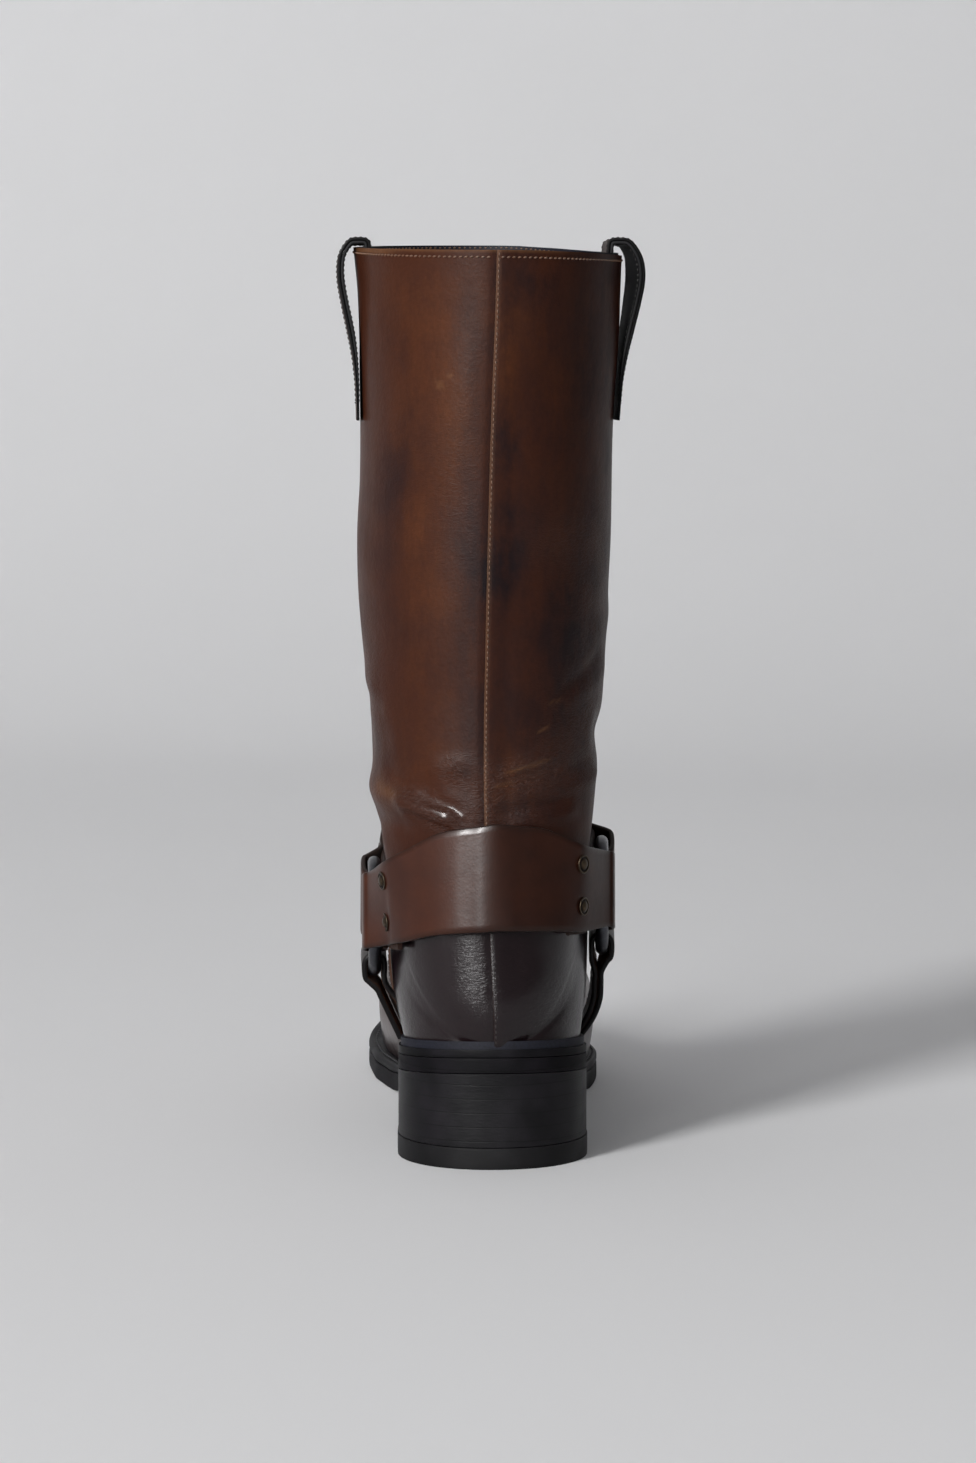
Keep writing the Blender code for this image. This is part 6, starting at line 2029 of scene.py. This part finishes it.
@dataclass
class Studio:
    """A seamless paper sweep, a tall softbox and a strip from the camera's left, and a soft fill."""

    paper: bpy.types.Material
    half_width: float = 5.0
    front: float = -6.0
    back: float = 2.3
    bend: float = 0.9
    height: float = 3.0
    focal_pixels: float = 4065.0
    image_height: float = 1463.0
    sensor: float = 36.0
    camera_place: tuple[float, float, float] = (-0.0753, -1.5314, 0.300)
    horizon_row: float = 357.0
    heading: float = -2.75
    fill_colour: str = "FAFAFC"
    fill_way: tuple[float, float, float] = (-0.62, 0.0, 0.78)
    fill_bounds: tuple[float, float] = (-0.7, 1.0)
    fill: tuple[float, float] = (0.08, 0.39)

    def build_sweep(self) -> None:
        """Make the floor, the bend and the wall as one paper sheet."""
        run = [(self.front, 0.0)] + [(y, 0.0) for y in np.linspace(-2.0, self.back - self.bend, 24)]
        for t in np.linspace(0.0, math.pi / 2.0, 24)[1:]:
            run.append((self.back - self.bend + self.bend * math.sin(t), self.bend * (1.0 - math.cos(t))))
        run.append((self.back, self.height))
        across = np.linspace(-self.half_width, self.half_width, 25)
        data = bpy.data.meshes.new("paper_sweep")
        data.from_pydata([(x, y, z) for y, z in run for x in across], [],
                         ring_quads(len(run), len(across), False, False))
        data.materials.append(self.paper)
        data.shade_smooth()
        linked("paper_sweep", data)

    @staticmethod
    def build_light(name: str, turn: float, rise: float, distance: float, size: tuple[float, float],
                    power: float, aim: tuple[float, float, float], unseen: str) -> None:
        """Hang an area light from its row of the table."""
        light = bpy.data.lights.new(name, "AREA")
        light.shape = "RECTANGLE"
        light.size, light.size_y = size
        light.energy = power
        holder = linked(name, light)
        side, lift = math.radians(turn), math.radians(rise)
        way = Vector((math.sin(side) * math.cos(lift), -math.cos(side) * math.cos(lift), math.sin(lift)))
        holder.location = Vector(aim) + way * distance
        holder.rotation_euler = way.to_track_quat("Z", "Y").to_euler()
        setattr(holder, unseen, False)

    def build_fill(self) -> None:
        """Light the room softly from above and the camera's left, and leave its right side dim."""
        world = bpy.data.worlds.new("soft_fill")
        world.use_nodes = True
        tree = world.node_tree
        background = tree.nodes["Background"]
        background.inputs["Color"].default_value = hex_colour(self.fill_colour)
        place = tree.nodes.new("ShaderNodeTexCoord")
        toward = tree.nodes.new("ShaderNodeVectorMath")
        toward.operation = "DOT_PRODUCT"
        toward.inputs[1].default_value = self.fill_way
        strength = tree.nodes.new("ShaderNodeMapRange")
        for name, value in zip(("From Min", "From Max", "To Min", "To Max"), self.fill_bounds + self.fill):
            strength.inputs[name].default_value = value
        tree.links.new(place.outputs["Generated"], toward.inputs[0])
        tree.links.new(toward.outputs["Value"], strength.inputs["Value"])
        tree.links.new(strength.outputs["Result"], background.inputs["Strength"])
        bpy.context.scene.world = world

    def build_camera(self) -> None:
        """Set the camera where the photo was taken from: held level, with the lens shifted down."""
        lens = bpy.data.cameras.new("camera")
        lens.sensor_fit = "VERTICAL"
        lens.sensor_height = self.sensor
        lens.lens = self.sensor * self.focal_pixels / self.image_height
        lens.shift_y = (self.horizon_row - self.image_height / 2.0) / self.image_height
        camera = linked("camera", lens)
        camera.location = self.camera_place
        camera.rotation_euler = (math.radians(90.0), 0.0, math.radians(self.heading))
        bpy.context.scene.camera = camera

    def build(self) -> None:
        """Set the sweep, the lights, the fill and the camera."""
        self.build_sweep()
        for row in LIGHTS:
            self.build_light(*row)
        self.build_fill()
        bpy.context.scene.view_settings.view_transform = "Standard"
        self.build_camera()


def forms() -> tuple[SoleForm, UpperForm]:
    """Read the form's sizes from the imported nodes' boxes; the rest are the part's own."""
    sole_low, sole_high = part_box("outsole")
    heel_low, heel_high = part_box("heel_block")
    upper_low, upper_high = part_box("upper")
    sole = SoleForm(sole_high[1] - sole_low[1], BALL_WIDTH, heel_high[0] - heel_low[0], HEEL_HEIGHT,
                    -sole_low[1])
    collar_height = upper_high[2] / SHAFT_SECTIONS[-1][2]
    shaft_width = (upper_high[0] - upper_low[0]) / (SHAFT_SECTIONS[-1][5] + SHAFT_SECTIONS[-1][6])
    return sole, UpperForm(sole, INSTEP_HEIGHT, collar_height, SHAFT_DEPTH, shaft_width)


def main() -> None:
    """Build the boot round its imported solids, and the studio round the boot."""
    logging.basicConfig(level=logging.INFO, format="%(message)s")
    sole, form = forms()
    black_thread = BondedThread("black_bonded_thread", "0D0C10", "1B191E").build()
    tan_thread = BondedThread("tan_bonded_thread", "70482A", "46301F").build()
    dark_thread = BondedThread("brown_bonded_thread", "271A15", "150F0E").build()
    lining = PlainLeather("black_lining", "101119", "1E1F2A", 0.60, 0.9, 0.25).build()
    raw_edge = PlainLeather("raw_brown_edge", "33201A", "553A28", 0.75, 0.5, 0.4).build()
    Upper(form, BurnishedCowhide().build(), raw_edge, lining, tan_thread, dark_thread).build()
    ring_plate = PlatedMetal("gunmetal_plate", "55565B", "232326", 0.26, 0.7).build()
    rivet_plate = PlatedMetal("antique_brass_plate", "4E4336", "1A1513", 0.36, 0.5).build()
    arch_leather = BridleLeather("arch_strap_leather", "1B1211", "110C0B", "5C3318", "0B0809", 0.42).build()
    harness = Harness(form, BridleLeather().build(), arch_leather, ring_plate, rivet_plate)
    harness.build()
    loop_brown = BridleLeather("loop_cowhide", "38231A", "1D130F", "090809", "080708", 0.5, 0.07).build()
    loop_black = PlainLeather("loop_lining", "070609", "0E0D11", 0.62, 1.2, 0.15).build()
    PullLoops(harness, loop_brown, loop_black, dark_thread).build()
    outsole_edge = WaxedEdge("waxed_outsole_edge", roughness=0.56, sheen=0.07).build()
    heel_edge = WaxedEdge("waxed_heel_edge").build()
    lift_rubber = WaxedEdge("rubber_top_lift", "0A090B", "131215", 40.0, 0.0, 0.50).build()
    welt_leather = WaxedEdge("waxed_welt", "0B0A0D", "17151A", 40.0, 0.0, 0.5, 0.09).build()
    SoleStack(sole, form.wall, outsole_edge, heel_edge, lift_rubber, welt_leather, lining,
              black_thread).build()
    Studio(StudioPaper().build()).build()
    bpy.context.view_layer.update()


if __name__ == "__main__":
    main()
